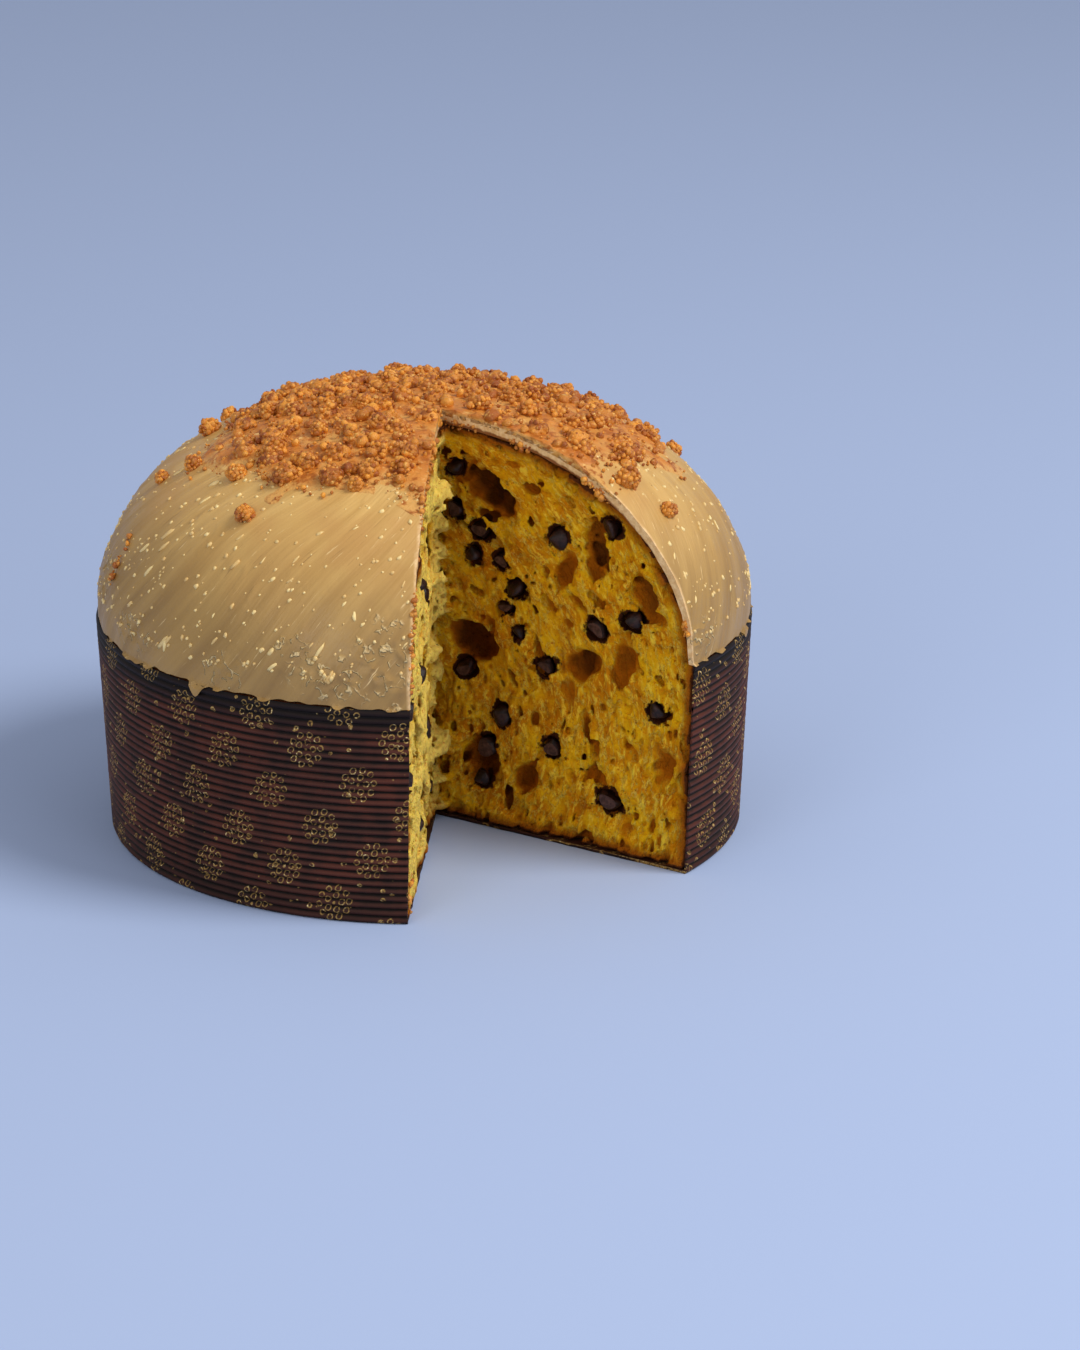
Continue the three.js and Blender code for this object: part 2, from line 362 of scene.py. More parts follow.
# %% [markdown]
# Materials are small trees of nodes. One helper adds a node and fills its sockets with
# numbers or joins them to other nodes, and colours are written as a painter reads them
# off a screen and turned into the linear values that Blender wants.

# %% Helpers for materials
def colour(red, green, blue):
    """A linear colour from screen values between 0 and 255."""
    shares = [v / 255 for v in (red, green, blue)]
    linear = [s / 12.92 if s <= 0.04045 else ((s + 0.055) / 1.055) ** 2.4 for s in shares]
    return (*linear, 1.0)


def new_material(name, **uniform):
    """A material with one shader, whose uniform values go straight onto its sockets."""
    material = bpy.data.materials.new(name)
    material.use_nodes = True
    shader = material.node_tree.nodes["Principled BSDF"]
    for socket, value in uniform.items():
        shader.inputs[socket.replace("_", " ")].default_value = value
    return material, material.node_tree, shader


def add_node(tree, kind, inputs=(), **settings):
    """A new node; each input is a number, a colour or another node's output."""
    made = tree.nodes.new("ShaderNode" + kind)
    for name, value in settings.items():
        setattr(made, name, value)
    for socket, value in dict(inputs).items():
        if isinstance(value, bpy.types.NodeSocket):
            tree.links.new(value, made.inputs[socket])
        else:
            made.inputs[socket].default_value = value
    return made


def attribute(tree, name):
    """The number that store kept on each point under this name."""
    return add_node(tree, "Attribute", attribute_name=name).outputs["Fac"]


def object_place(tree):
    """The place on the piece, in its own metres."""
    return add_node(tree, "TexCoord").outputs["Object"]


def mix(tree, factor, first, second):
    """A colour between two, by a factor from 0 to 1."""
    made = add_node(tree, "Mix", {0: factor, 6: first, 7: second}, data_type="RGBA")
    return made.outputs[2]


def calculate(tree, operation, first, second=0.0, third=0.0):
    """One step of arithmetic on up to three inputs."""
    made = add_node(tree, "Math", {0: first, 1: second, 2: third}, operation=operation)
    return made.outputs[0]


def remap(tree, value, low, high, to_low=0.0, to_high=1.0):
    """value taken from the range low to high to another range, and held there."""
    inputs = {"Value": value, "From Min": low, "From Max": high}
    inputs.update({"To Min": to_low, "To Max": to_high})
    return add_node(tree, "MapRange", inputs, interpolation_type="SMOOTHSTEP").outputs["Result"]


def grain(tree, place, size, detail=3.0, roughness=0.6):
    """Noise from 0 to 1 with bumps of about that size in millimetres."""
    inputs = {"Vector": place, "Scale": 1 / (size * MM), "Detail": detail, "Roughness": roughness}
    return add_node(tree, "TexNoise", inputs).outputs["Fac"]


def bump(tree, shader, height, depth, normal=None):
    """Relief of that depth in millimetres from a height between 0 and 1."""
    inputs = {"Height": height, "Distance": depth * MM, "Strength": 1.0}
    if normal is not None:
        inputs["Normal"] = normal
    made = add_node(tree, "Bump", inputs)
    tree.links.new(made.outputs["Normal"], shader.inputs["Normal"])
    return made.outputs["Normal"]


# %% [markdown]
# The bread is one loaf: a turned body with the missing slice taken out. Its cut faces
# are what the eye goes to. A panettone's crumb is a wet, golden foam that tears into
# threads, with pores from half a millimetre up and a few caves. No brush stroke or
# bump gives such holes, so the cut faces are grown as a field of distances on a fine
# grid: negative in the bread and positive in the air. Pores, caves and the pockets of
# the chocolate are subtracted from the field, and a skin is then laid where it is zero.

# %% Caves and chocolate in the two cut faces
# Each cave: along the face, height, half length, half width, tilt in degrees, depth.
CAVES = {
    RIGHT: [
        (18.5, 112.5, 12, 5.5, -32, 9),
        (58.5, 100, 8.5, 4.5, -78, 7),
        (47.5, 92.5, 8, 3.5, 85, 4),
        (12, 62, 9, 6.5, -10, 8),
        (77, 88, 9, 4, -60, 5),
        (17, 22, 9, 7, 80, 6),
        (54, 62, 8, 5, 20, 6),
        (70, 66, 9, 4, 80, 5),
        (34, 20, 8, 4, 60, 5),
        (86, 32, 7, 4, 70, 4),
    ],
    LEFT: [
        (24, 100, 12, 6, 30, 8),
        (50, 108, 8, 5, -20, 6),
        (72, 84, 11, 5, 70, 6),
        (38, 66, 10, 6, -15, 7),
        (66, 48, 9, 5, 40, 6),
        (20, 38, 8, 5, 75, 6),
        (47, 22, 10, 4.5, -10, 5),
        (84, 26, 8, 4, 60, 5),
    ],
}
# Each drop of chocolate: along the face, height, radius.
DROPS = {
    RIGHT: [
        (44.5, 102, 4.2),
        (15, 100, 4.2),
        (12, 91.5, 3),
        (23.5, 91, 3.6),
        (29, 83, 3.8),
        (25.5, 76, 3.2),
        (30.5, 68.5, 2.8),
        (10, 52.5, 4),
        (24, 39, 4),
        (18.5, 27, 4.6),
        (17, 16, 3.4),
        (41, 59, 3.8),
        (5, 119, 3.4),
        (5, 105, 3.6),
        (64, 109, 3.8),
        (60, 75, 4.4),
        (73, 80, 4),
        (66, 18, 4.6),
        (83, 52, 3.8),
        (44, 32, 4),
    ],
    LEFT: [
        (12, 112, 3.8),
        (37, 88, 4),
        (62, 99, 3.6),
        (86, 66, 4),
        (58, 68, 4.2),
        (14, 60, 3.8),
        (34, 42, 4),
        (86, 44, 3.6),
        (64, 20, 4.2),
        (16, 16, 4),
    ],
}
DROP_DEPTH = 0.45
print(len(DROPS[RIGHT]) + len(DROPS[LEFT]), "drops of chocolate show in the cuts")

# %% [markdown]
# The loaf itself is plain: straight sides that follow the case, and the dome above it.
# The body that is turned here stops well behind the two cut faces, and two slabs of
# real crumb are grown in front of it, because only they need fine detail.

# %% The loaf's own shape
CASE_SLOPE = (CASE_RADIUS - CASE_BASE_RADIUS) / CASE_HEIGHT


def side_radius(height):
    """The bread's radius inside the case."""
    return CASE_BASE_RADIUS + CASE_SLOPE * height - PAPER - GAP


def outside_bread(points):
    """How far points lie outside the loaf's skin, in millimetres; negative in it."""
    height = points[..., 2]
    side = from_axis(points) - side_radius(height)
    dome = outside_dome(points, BREAD_RADIUS, BREAD_TOP)
    skin = np.where(height > CASE_HEIGHT - GAP, dome, side)
    return np.maximum(skin, BREAD_FOOT - height)


BODY_STEPS = 96
section = [(0, BREAD_FOOT), (side_radius(BREAD_FOOT), BREAD_FOOT)]
section += [(side_radius(CASE_HEIGHT - GAP), CASE_HEIGHT - GAP)]
bread = turned("bread", section + dome_section(BREAD_RADIUS, BREAD_TOP, 24).tolist(), BODY_STEPS)
BACKING = 9.5
carve(bread, knife(depth=BACKING))
print("the loaf behind the crumb has", triangle_count(bread), "triangles")

# %% [markdown]
# The field. Depth into the face decides first, with a torn edge of low noise. Towards
# the middle of the cake the crumb of the left face tears out in teeth, where the slice
# was pulled away and not cut.

# %% The crumb as a field
SPACING = 0.8
SLAB = 11.0
MITRE_OVERLAP = 0.8
ALONG = np.arange(-22.4, 106.5, SPACING)
DEPTH = np.arange(-8, SLAB + 1.5, SPACING)
HEIGHT = np.arange(0, BREAD_TOP + 2, SPACING)
HEART = (-30.0, 32.0)  # the middle that the threads lie round, along the face and up


def threads(along, height, depth):
    """Places along and across the crumb's threads, which lie round the loaf's heart."""
    x, z = along - HEART[0], height - HEART[1]
    return np.stack([90 * np.arctan2(z, x), np.hypot(x, z), depth], axis=-1)


def torn(direction, points, along, depth):
    """How far the surface lies behind the clean cut."""
    drawn = threads(along, points[..., 2], depth)
    rough = 1.5 * noise(points, 12, 1) + 0.9 * noise(points, 4.6, 2) + 0.35 * noise(points, 1.8, 4)
    rough = rough + 0.8 * noise(drawn / (8, 2.2, 5), 1, 3)
    if direction == LEFT:
        lobes = noise(np.stack([along / 4, 0 * along, points[..., 2]], axis=-1), 4.8, 5)
        lobes = lobes + 0.35 * noise(points, 2.4, 6)
        torn_out = 5.4 * blend(0.2, 0.75, lobes) - 1.5 * blend(-0.1, -0.6, lobes)
        rough = rough - torn_out * (1 - blend(12, 30, along))
    return rough + 0.5


def ellipsoids(field, places, halves, tilts, ragged=0.0):
    """Takes rounded voids out of the field, each one within its own small box."""
    axes = (ALONG, DEPTH, HEIGHT)
    for place, half, tilt in zip(places, halves, tilts):
        reach = np.array([max(half[0], half[2]), half[1], max(half[0], half[2])]) + SPACING
        low = [np.searchsorted(axis, p - r) for axis, p, r in zip(axes, place, reach)]
        high = [np.searchsorted(axis, p + r) for axis, p, r in zip(axes, place, reach)]
        s, d, z = (axis[a:b] - p for axis, a, b, p in zip(axes, low, high, place))
        if not (len(s) and len(d) and len(z)):
            continue
        s, d, z = s[:, None, None], d[None, :, None], z[None, None, :]
        u = (s * math.cos(tilt) + z * math.sin(tilt)) / half[0]
        v = (z * math.cos(tilt) - s * math.sin(tilt)) / half[2]
        inside = (1 - np.sqrt(u * u + v * v + (d / half[1]) ** 2)) * min(half)
        if ragged:
            spots = np.stack(np.broadcast_arrays(s + place[0], d + place[1], z + place[2]), axis=-1)
            inside = inside + ragged * noise(spots, 3.4, 8) + 0.4 * ragged * noise(spots, 1.6, 9)
        box = tuple(slice(a, b) for a, b in zip(low, high))
        field[box] = np.maximum(field[box], inside)


def thread_tilt(along, height):
    """The direction of the crumb's threads, in line with the dome."""
    return np.arctan2(-(along - HEART[0]), height - HEART[1])


# Pores by size: how many, the smallest and largest radius, and how deep they lie.
PORES = ((5600, 0.5, 1.0, 1.8), (620, 1.0, 1.7, 3.0), (90, 1.8, 3.0, 4.5))


def bubbles(direction, field, seed):
    """Fills the slab with pores that are longest along the threads."""
    random = np.random.default_rng(seed)
    for count, small, large, deepest in PORES:
        along = random.uniform(-14, ALONG[-1], count)
        height = random.uniform(0, HEIGHT[-1], count)
        depth = random.uniform(-0.5, deepest, count)
        radius = small + (large - small) * random.random(count) ** 1.6
        long = radius * random.uniform(1.1, 2.6, count)
        halves = np.stack([long, radius, radius * random.uniform(0.6, 1.0, count)], axis=-1)
        tilts = thread_tilt(along, height) + random.normal(0, 0.3, count)
        ellipsoids(field, np.stack([along, depth, height], axis=-1), halves, tilts)


def crumb_field(direction):
    """The field of one cut face, on a grid of along, depth and height."""
    along, depth, height = np.meshgrid(ALONG, DEPTH, HEIGHT, indexing="ij")
    points = in_face(direction, along, height, depth)
    other = LEFT if direction == RIGHT else RIGHT
    far_along, far_depth = from_face(other, points)
    field = torn(direction, points, along, depth) - depth
    field = np.minimum(field, torn(other, points, far_along, far_depth) - far_depth)
    bubbles(direction, field, 11 if direction == RIGHT else 12)
    caves = np.array(CAVES[direction], float)
    places = np.stack([caves[:, 0], np.zeros(len(caves)), caves[:, 1]], axis=-1)
    ellipsoids(field, places, caves[:, [2, 5, 3]] + 0.5, np.radians(caves[:, 4]), 1.4)
    drops = np.array(DROPS[direction], float)
    places = np.stack([drops[:, 0], DROP_DEPTH * drops[:, 2], drops[:, 1]], axis=-1)
    ellipsoids(field, places, np.repeat(drops[:, 2:] * 0.92, 3, axis=1), np.zeros(len(drops)), 0.8)
    field = np.maximum(field, outside_bread(points))
    mitre = (far_depth - depth) / (2 * math.cos(HALF_GAP)) - MITRE_OVERLAP
    return np.maximum(np.maximum(field, mitre), depth - SLAB), points


# %% [markdown]
# A field like this holds crumbs that float free and bubbles that are shut, and neither
# can be seen or would stay in place. Growing from the air in front finds every open
# pore, and growing from the back of the slab finds all the bread that holds together.
# Diagonal neighbours are filled up, so that the skin never meets itself at an edge.

# %% One sound piece of crumb
def grow(seed, allowed):
    """Everything in allowed that seed reaches from cell to neighbouring cell."""
    reached = seed & allowed
    while True:
        grown = reached.copy()
        for axis in range(3):
            ahead = [slice(None)] * 3
            behind = [slice(None)] * 3
            ahead[axis], behind[axis] = slice(1, None), slice(None, -1)
            grown[tuple(ahead)] |= reached[tuple(behind)]
            grown[tuple(behind)] |= reached[tuple(ahead)]
        grown &= allowed
        if grown.sum() == reached.sum():
            return grown
        reached = grown


def fill_diagonals(solid):
    """Fills up cells that touch only at an edge or a corner."""
    for _ in range(12):
        before = solid.sum()
        for axis in range(3):
            view = np.moveaxis(solid, axis, 0)
            a, b = view[:, :-1, :-1], view[:, 1:, 1:]
            c, d = view[:, :-1, 1:], view[:, 1:, :-1]
            crossed = (a == b) & (c == d) & (a != c)
            for part in (a, b, c, d):
                part |= crossed
        for flip in ((1, 1, 1), (1, 1, -1), (1, -1, 1), (-1, 1, 1)):
            view = solid[:: flip[0], :: flip[1], :: flip[2]]
            halves = (slice(None, -1), slice(1, None))
            corners = [view[halves[x], halves[y], halves[z]] for x, y, z in np.ndindex(2, 2, 2)]
            count = sum(corner.astype(np.int8) for corner in corners)
            ends = corners[0] & corners[7]
            bare = ~corners[0] & ~corners[7]
            crossed = (ends & (count == 2)) | (bare & (count == 6))
            for corner in corners:
                corner |= crossed
        if solid.sum() == before:
            return solid
    return solid


def sound(field):
    """The field without shut bubbles, loose crumbs and diagonal neighbours."""
    solid = field < 0
    border = np.zeros_like(solid)
    for axis in range(3):
        np.moveaxis(border, axis, 0)[[0, -1]] = True
    air = grow(border, ~solid)
    back = np.zeros_like(solid)
    back[:, np.searchsorted(DEPTH, SLAB) - 2, :] = True
    solid = fill_diagonals(grow(back, ~air))
    field = np.where(solid & (field >= 0), -0.3 * SPACING, field)
    return np.where(~solid & (field < 0), 0.3 * SPACING, field)


# %% [markdown]
# The skin is a surface net: each cell of the grid that the zero level crosses gets one
# point, at the mean of its crossings, and each crossed edge of the grid gets one square
# between the four cells round it.

# %% Skin of a field
def surface_net(field, places):
    """Points and squares of the closed skin round the negative part of a field."""
    shape = np.array(field.shape) - 1
    corners = list(np.ndindex(2, 2, 2))
    cut = [tuple(slice(c, c + n) for c, n in zip(corner, shape)) for corner in corners]
    count = sum((field[part] < 0).astype(np.int8) for part in cut)
    active = (count > 0) & (count < 8)
    number = np.full(active.shape, -1)
    number[active] = np.arange(active.sum())
    values = np.stack([field[part][active] for part in cut])
    spots = np.stack([places[part][active] for part in cut])
    total, hits = np.zeros(spots.shape[1:]), np.zeros(spots.shape[1])
    for i, first in enumerate(corners):
        for j, second in enumerate(corners):
            if sum(second) - sum(first) != 1 or sum(abs(a - b) for a, b in zip(first, second)) != 1:
                continue
            crossed = (values[i] < 0) != (values[j] < 0)
            share = values[i] / np.where(crossed, values[i] - values[j], 1)
            spot = spots[i] + share[:, None] * (spots[j] - spots[i])
            total += np.where(crossed[:, None], spot, 0)
            hits += crossed
    squares = []
    for axis in range(3):
        one, two = [other for other in range(3) if other != axis]
        inner = [slice(1, -1)] * 3
        inner[axis] = slice(None, -1)
        ahead = list(inner)
        ahead[axis] = slice(1, None)
        here, there = field[tuple(inner)] < 0, field[tuple(ahead)] < 0
        at = np.argwhere(here != there)
        leaving = here[here != there] == (axis != 1)
        at[:, one] += 1
        at[:, two] += 1
        step_one, step_two = np.eye(3, dtype=int)[one], np.eye(3, dtype=int)[two]
        ring = [at, at - step_one, at - step_one - step_two, at - step_two]
        square = np.stack([number[tuple(cell.T)] for cell in ring], axis=-1)
        squares.append(np.where(leaving[:, None], square, square[:, ::-1]))
    return total / hits[:, None], np.concatenate(squares)


crumb = [bread]
for side, direction in SIDES:
    field, places = crumb_field(direction)
    skin, squares = surface_net(sound(field), places)
    crumb.append(face_outwards(mesh_from("crumb_" + side, skin, squares)))
    print("the", side, "crumb has", 2 * len(squares), "triangles")

# %% [markdown]
# The crumb's colour comes from where it is. Numbers are kept on every point: how deep it
# lies under the loaf's skin and behind the cut, how near a drop of chocolate is, which
# face it belongs to, and its place along and across the threads. The skin is baked brown,
# the foam is golden, and melted chocolate stains the pores round a drop. Shade and light
# are painted into the foam: it is painted darker and more orange the deeper it lies
# behind the cut, as shade in its pores and caves, darker in the dips of its finest relief
# and in the pits between the left face's teeth, and paler where the left face is lit.

# %% Finish of the crumb
for piece in crumb:
    skin = points_of(piece)
    store(piece, "under_skin", -outside_bread(skin))
    store(piece, "behind_cut", gap_depth(skin))
    nearest = np.full(len(skin), 99.0)
    for direction, drops in DROPS.items():
        for along, height, radius in drops:
            middle = in_face(direction, along, height, DROP_DEPTH * radius)
            nearest = np.minimum(nearest, np.linalg.norm(skin - middle, axis=1) - radius)
    store(piece, "to_chocolate", nearest)
    along, depth = from_face(RIGHT, skin)
    far_along, far_depth = from_face(LEFT, skin)
    along = np.where(depth > far_depth, along, far_along)
    store(piece, "left_face", far_depth > depth)
    drawn = threads(along, skin[:, 2], np.maximum(depth, far_depth))
    for name, values in zip(("thread_way", "thread_across", "thread_depth"), drawn.T):
        store(piece, name, values * MM)

crumb_finish, tree, shader = new_material(
    "golden crumb", Roughness=0.7, Subsurface_Weight=0.12, Subsurface_Scale=0.003
)
shader.inputs["Subsurface Radius"].default_value = (1.0, 0.45, 0.05)
shader.inputs["Specular IOR Level"].default_value = 0.08
place = object_place(tree)
drawn = [attribute(tree, name) for name in ("thread_way", "thread_across", "thread_depth")]
drawn = add_node(tree, "CombineXYZ", {0: drawn[0], 1: drawn[1], 2: drawn[2]}).outputs[0]
drawn = add_node(tree, "Mapping", {"Vector": drawn, "Scale": (0.36, 1, 0.8)}).outputs["Vector"]
hairs = grain(tree, drawn, 1.4, 4, 0.65)
lines = calculate(tree, "ABSOLUTE", calculate(tree, "SUBTRACT", grain(tree, drawn, 4.2, 4), 0.5))
lines = remap(tree, lines, 0.003, 0.018, 1, 0)
patches = remap(tree, grain(tree, place, 9, 4), 0.36, 0.62)
fine = grain(tree, place, 1.0, 4, 0.7)
behind = attribute(tree, "behind_cut")
left_face = attribute(tree, "left_face")
foam = mix(tree, patches, colour(214, 132, 4), colour(244, 182, 12))
foam = mix(tree, remap(tree, hairs, 0.5, 0.64), foam, colour(255, 208, 58))
foam = mix(tree, calculate(tree, "MULTIPLY", lines, 0.75), foam, colour(255, 216, 88))
# Painted light: the left cut face is painted paler near its cut surface, where the key light falls
# on it.
pale = calculate(tree, "MULTIPLY", left_face, remap(tree, behind, 2.4, 0.4))
foam = mix(tree, calculate(tree, "MULTIPLY", pale, 0.9), foam, colour(255, 220, 104))
# Painted shade: the foam is darker where the fine bump dips.
foam = mix(tree, remap(tree, fine, 0.46, 0.3), foam, colour(212, 118, 2))
# Painted shade: the foam is darker and more orange the deeper it lies behind the cut, in pores and
# caves.
foam = mix(tree, remap(tree, behind, 1.6, 3.8), foam, colour(186, 102, 2))
foam = mix(tree, remap(tree, behind, 3.0, 7.0), foam, colour(104, 52, 3))
# Painted shade: the pits between the left face's teeth are painted near black-brown.
painted_shade_pits = calculate(tree, "MULTIPLY", left_face, remap(tree, behind, 2.0, 3.0))
foam = mix(tree, painted_shade_pits, foam, colour(72, 32, 6))
nearness = attribute(tree, "to_chocolate")
stain = calculate(tree, "MULTIPLY_ADD", grain(tree, place, 4.5, 4), -8.0, nearness)
foam = mix(tree, remap(tree, stain, -3.9, -3.1, 1, 0), foam, colour(62, 27, 8))
under = attribute(tree, "under_skin")
depth_in = calculate(tree, "MULTIPLY_ADD", grain(tree, place, 4, 3), -1.6, under)
foam = mix(tree, remap(tree, depth_in, 0.4, 4.5, 1, 0), foam, colour(168, 92, 10))
foam = mix(tree, remap(tree, depth_in, -0.2, 0.6, 1, 0), foam, colour(80, 38, 12))
tree.links.new(foam, shader.inputs["Base Color"])
threads_bump = bump(tree, shader, hairs, 1.1)
threads_bump = bump(tree, shader, lines, 0.35, threads_bump)
bump(tree, shader, fine, 0.8, threads_bump)
for piece in crumb:
    activate(piece)
    bpy.ops.object.shade_smooth()
    finish_piece(piece, crumb_finish, "crumb", "crumb")

# %% [markdown]
# The drops are teardrops of dark chocolate with a flat base. Each one is a small turned
# solid, rounded by one subdivision, and turned at random as it lay in the dough. The
# knife went through every second one, which shows a flat, paler, waxy face.

# %% Drops of chocolate
DROP_SECTION = (
    (0, 0), (0.72, 0.0), (0.98, 0.2), (0.9, 0.5), (0.62, 0.85), (0.3, 1.12), (0.08, 1.3), (0, 1.32),
)  # radius and height for a drop of radius 1
DROP_MIDDLE = 0.5


def random_source(seed):
    """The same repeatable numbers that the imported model's drops and nuggets use."""
    state = seed
    while True:
        state = state * 16807 % 2147483647
        yield state / 2147483647


chocolate, tree, shader = new_material("dark chocolate", Roughness=0.42)
shader.inputs["Specular IOR Level"].default_value = 0.3
place = object_place(tree)
dull = remap(tree, grain(tree, place, 2.2, 3), 0.4, 0.7)
tree.links.new(mix(tree, dull, colour(28, 12, 8), colour(56, 28, 20)), shader.inputs["Base Color"])
bump(tree, shader, grain(tree, place, 1.6, 4), 0.5)
cut_chocolate, tree, shader = new_material("cut chocolate", Roughness=0.55)
shader.inputs["Specular IOR Level"].default_value = 0.3
place = object_place(tree)
streak = remap(tree, grain(tree, place, 1.2, 4), 0.35, 0.7)
waxy = mix(tree, streak, colour(52, 28, 22), colour(88, 58, 50))
tree.links.new(waxy, shader.inputs["Base Color"])
bump(tree, shader, grain(tree, place, 0.7, 3), 0.06)

for side, direction in SIDES:
    for i, (along, height, radius) in enumerate(DROPS[direction]):
        drop = turned(f"drop_{side}_{i + 1}", DROP_SECTION, 10)
        random = random_source(round(along * 100 + height))
        x, y, z = (2 * math.pi * next(random) for _ in range(3))
        turn = Matrix.Rotation(x, 3, "X") @ Matrix.Rotation(y, 3, "Y") @ Matrix.Rotation(z, 3, "Z")
        shape = (points_of(drop) - (0, 0, DROP_MIDDLE)) @ np.array(turn).T * radius * 0.97
        shape *= 1 + 0.24 * noise(shape, 0.9 * radius, i)[:, None]
        move_points(drop, shape + in_face(direction, along, height, DROP_DEPTH * radius))
        apply_modifier(drop, "SUBSURF", levels=1, render_levels=1)
        drop.data.materials.append(chocolate)
        drop.data.materials.append(cut_chocolate)
        if i % 2:
            into = inward(direction)
            away = Vector((-math.cos(into), -math.sin(into), -CUT_LEAN)).normalized()
            on_cut = Vector(in_face(direction, along, height, 0.0) * MM)
            bpy.ops.object.mode_set(mode="EDIT")
            bpy.ops.mesh.select_all(action="SELECT")
            bpy.ops.mesh.bisect(plane_co=on_cut, plane_no=away, use_fill=True, clear_outer=True)
            bpy.ops.mesh.select_all(action="SELECT")
            bpy.ops.mesh.remove_doubles(threshold=1e-5)
            bpy.ops.mesh.dissolve_degenerate(threshold=1e-5)
            bpy.ops.object.mode_set(mode="OBJECT")
            drop.data.validate()
            for polygon in drop.data.polygons:
                polygon.material_index = int(polygon.normal.dot(away) > 0.999)
        bpy.ops.object.shade_smooth_by_angle(angle=math.radians(40))
        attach(drop, "root")
        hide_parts(f"chip_{side}_{i + 1}")
print("the last drop has", triangle_count(drop), "triangles")

# %% [markdown]
# The icing was poured and spread with a palette knife while it set. What shows is a
# matte coat with long slanting strokes, a few smears near the lower edge, and an edge
# that ends raggedly on the rim of the case. The coat is a turned shell with many steps,
# its outside is moved in and out by noise that is stretched along the strokes, and the
# finest strokes are left to the material.

# %% Icing
ICING_STEPS = 720
STROKE_TILT = math.radians(60)
outer = dome_section(ICING_RADIUS, ICED_HEIGHT, 124)[:-1]
inner = dome_section(ICING_RADIUS - ICING_RIM, ICED_HEIGHT - ICING_TOP, 12)[:-1]
closed = [(0, ICED_HEIGHT), *outer[::-1].tolist(), *inner.tolist(), (0, ICED_HEIGHT - ICING_TOP)]
icing = turned("icing_coat", closed, ICING_STEPS)

# %% [markdown]
# The strokes run slantwise up the dome. Places along and across them come from the way
# round the cake and from the height, bent a little by noise. The relief is noise that is
# stretched along them, with curls and dents where the knife lifted.

# %% Strokes of the palette knife
def round_the_cake(points):
    """The way round the cake in millimetres, from behind the missing slice, and up."""
    turn = np.arctan2(points[..., 0], -points[..., 1]) % (2 * math.pi)
    return turn * ICING_RADIUS, from_axis(points)


def way_to(azimuth):
    """The way round the cake to an azimuth in degrees."""
    return (math.radians(azimuth + 90) % (2 * math.pi)) * ICING_RADIUS


def strokes(points):
    """Places along and across the strokes of the palette knife."""
    way, distance = round_the_cake(points)
    up = points[..., 2] + (ICING_RADIUS - distance) * 0.8
    way = way + 7 * noise(points, 45, 20)
    along = way * math.cos(STROKE_TILT) + up * math.sin(STROKE_TILT)
    across = up * math.cos(STROKE_TILT) - way * math.sin(STROKE_TILT)
    return np.stack([along, across, np.zeros_like(across)], axis=-1)


# Rough smears where the knife lifted: azimuth in degrees, height, half width, half height.
SMEARS = (
    (-121, 84, 11, 12), (-150, 76, 8, 5), (-137, 87, 7, 3), (-131, 79, 12, 6), (-100, 80, 9, 6),
    (-60, 78, 10, 6), (-20, 82, 14, 8), (35, 76, 12, 5), (80, 84, 10, 8), (130, 78, 14, 6),
    (165, 86, 9, 7), (-175, 77, 10, 5),
)


def smeared(points):
    """1 in the middle of a smear and 0 away from them."""
    way, _ = round_the_cake(points)
    total = np.zeros(points.shape[:-1])
    for azimuth, height, half_width, half_height in SMEARS:
        sideways = (way - way_to(azimuth)) / half_width
        upwards = (points[..., 2] - height) / half_height
        total = np.maximum(total, np.exp(-(sideways**2) - upwards**2))
    return total


def relief(points):
    """How far the icing's outside stands off the even dome."""
    along_across = strokes(points)
    low = 0.6 * noise(points, 30, 21) + 0.3 * noise(points, 12, 22)
    wide = 0.14 * noise(along_across / (9, 1, 1), 6.0, 23)
    sharp = 1 - np.abs(noise(along_across / (11, 1, 1), 4.5, 24))
    lines = 0.2 * blend(0.88, 1.0, sharp)
    bent = points + 3.5 * noise(points, 8, 27)[..., None]
    curls = 1 - np.abs(noise(bent * (1, 1, 1.4), 4.6, 26))
    dents = blend(0.15, -0.5, noise(points, 5.5, 28))
    rough = smeared(points) * (0.65 * blend(0.78, 1.0, curls) - 0.4 * dents)
    return low + wide + lines + rough


def surface_normal(points):
    """The direction straight out of the dome, from how the distance grows each way."""
    here = outside_dome(points, ICING_RADIUS, ICED_HEIGHT)
    nearby = [points + shift for shift in 0.01 * np.eye(3)]
    slope = [outside_dome(spots, ICING_RADIUS, ICED_HEIGHT) - here for spots in nearby]
    slope = np.stack(slope, axis=-1)
    return slope / np.linalg.norm(slope, axis=-1)[..., None].clip(1e-9)

# %% [markdown]
# The outside of the coat is moved straight out of the dome by its relief, and less so
# towards the rim. The lower edge is ragged, with a few drips that hang over the paper,
# and nothing stands out beyond the case. Then the slice is cut out.

# %% Relief and lower edge of the icing
# Drips: azimuth in degrees, how far they hang, half width.
DRIPS = ((-156.5, 4.2, 2.6), (-142, 1.2, 3.0), (-40, 2.0, 3.0), (60, 2.5, 4.0), (140, 1.6, 3.0))
shape = points_of(icing)
inwards = -outside_dome(shape, ICING_RADIUS, ICED_HEIGHT)
weight = 1 - blend(0.2, 1.6, inwards)
way, _ = round_the_cake(shape)
rim = blend(80, 70, shape[:, 2])
offset = relief(shape) * (1 - 0.5 * rim) - 0.45 - 0.2 * rim
shape = shape + surface_normal(shape) * (offset * weight)[:, None]
edge = np.stack([way, np.zeros_like(way), np.zeros_like(way)], axis=-1)
ragged = 0.9 * noise(edge, 9, 31) + 0.8 * noise(edge, 3.2, 32) + 0.3
for azimuth, fall, half_width in DRIPS:
    ragged = ragged - fall * np.exp(-(((way - way_to(azimuth)) / half_width) ** 2))
lip = blend(76, 70, shape[:, 2]) * blend(1.5, 0.5, inwards)
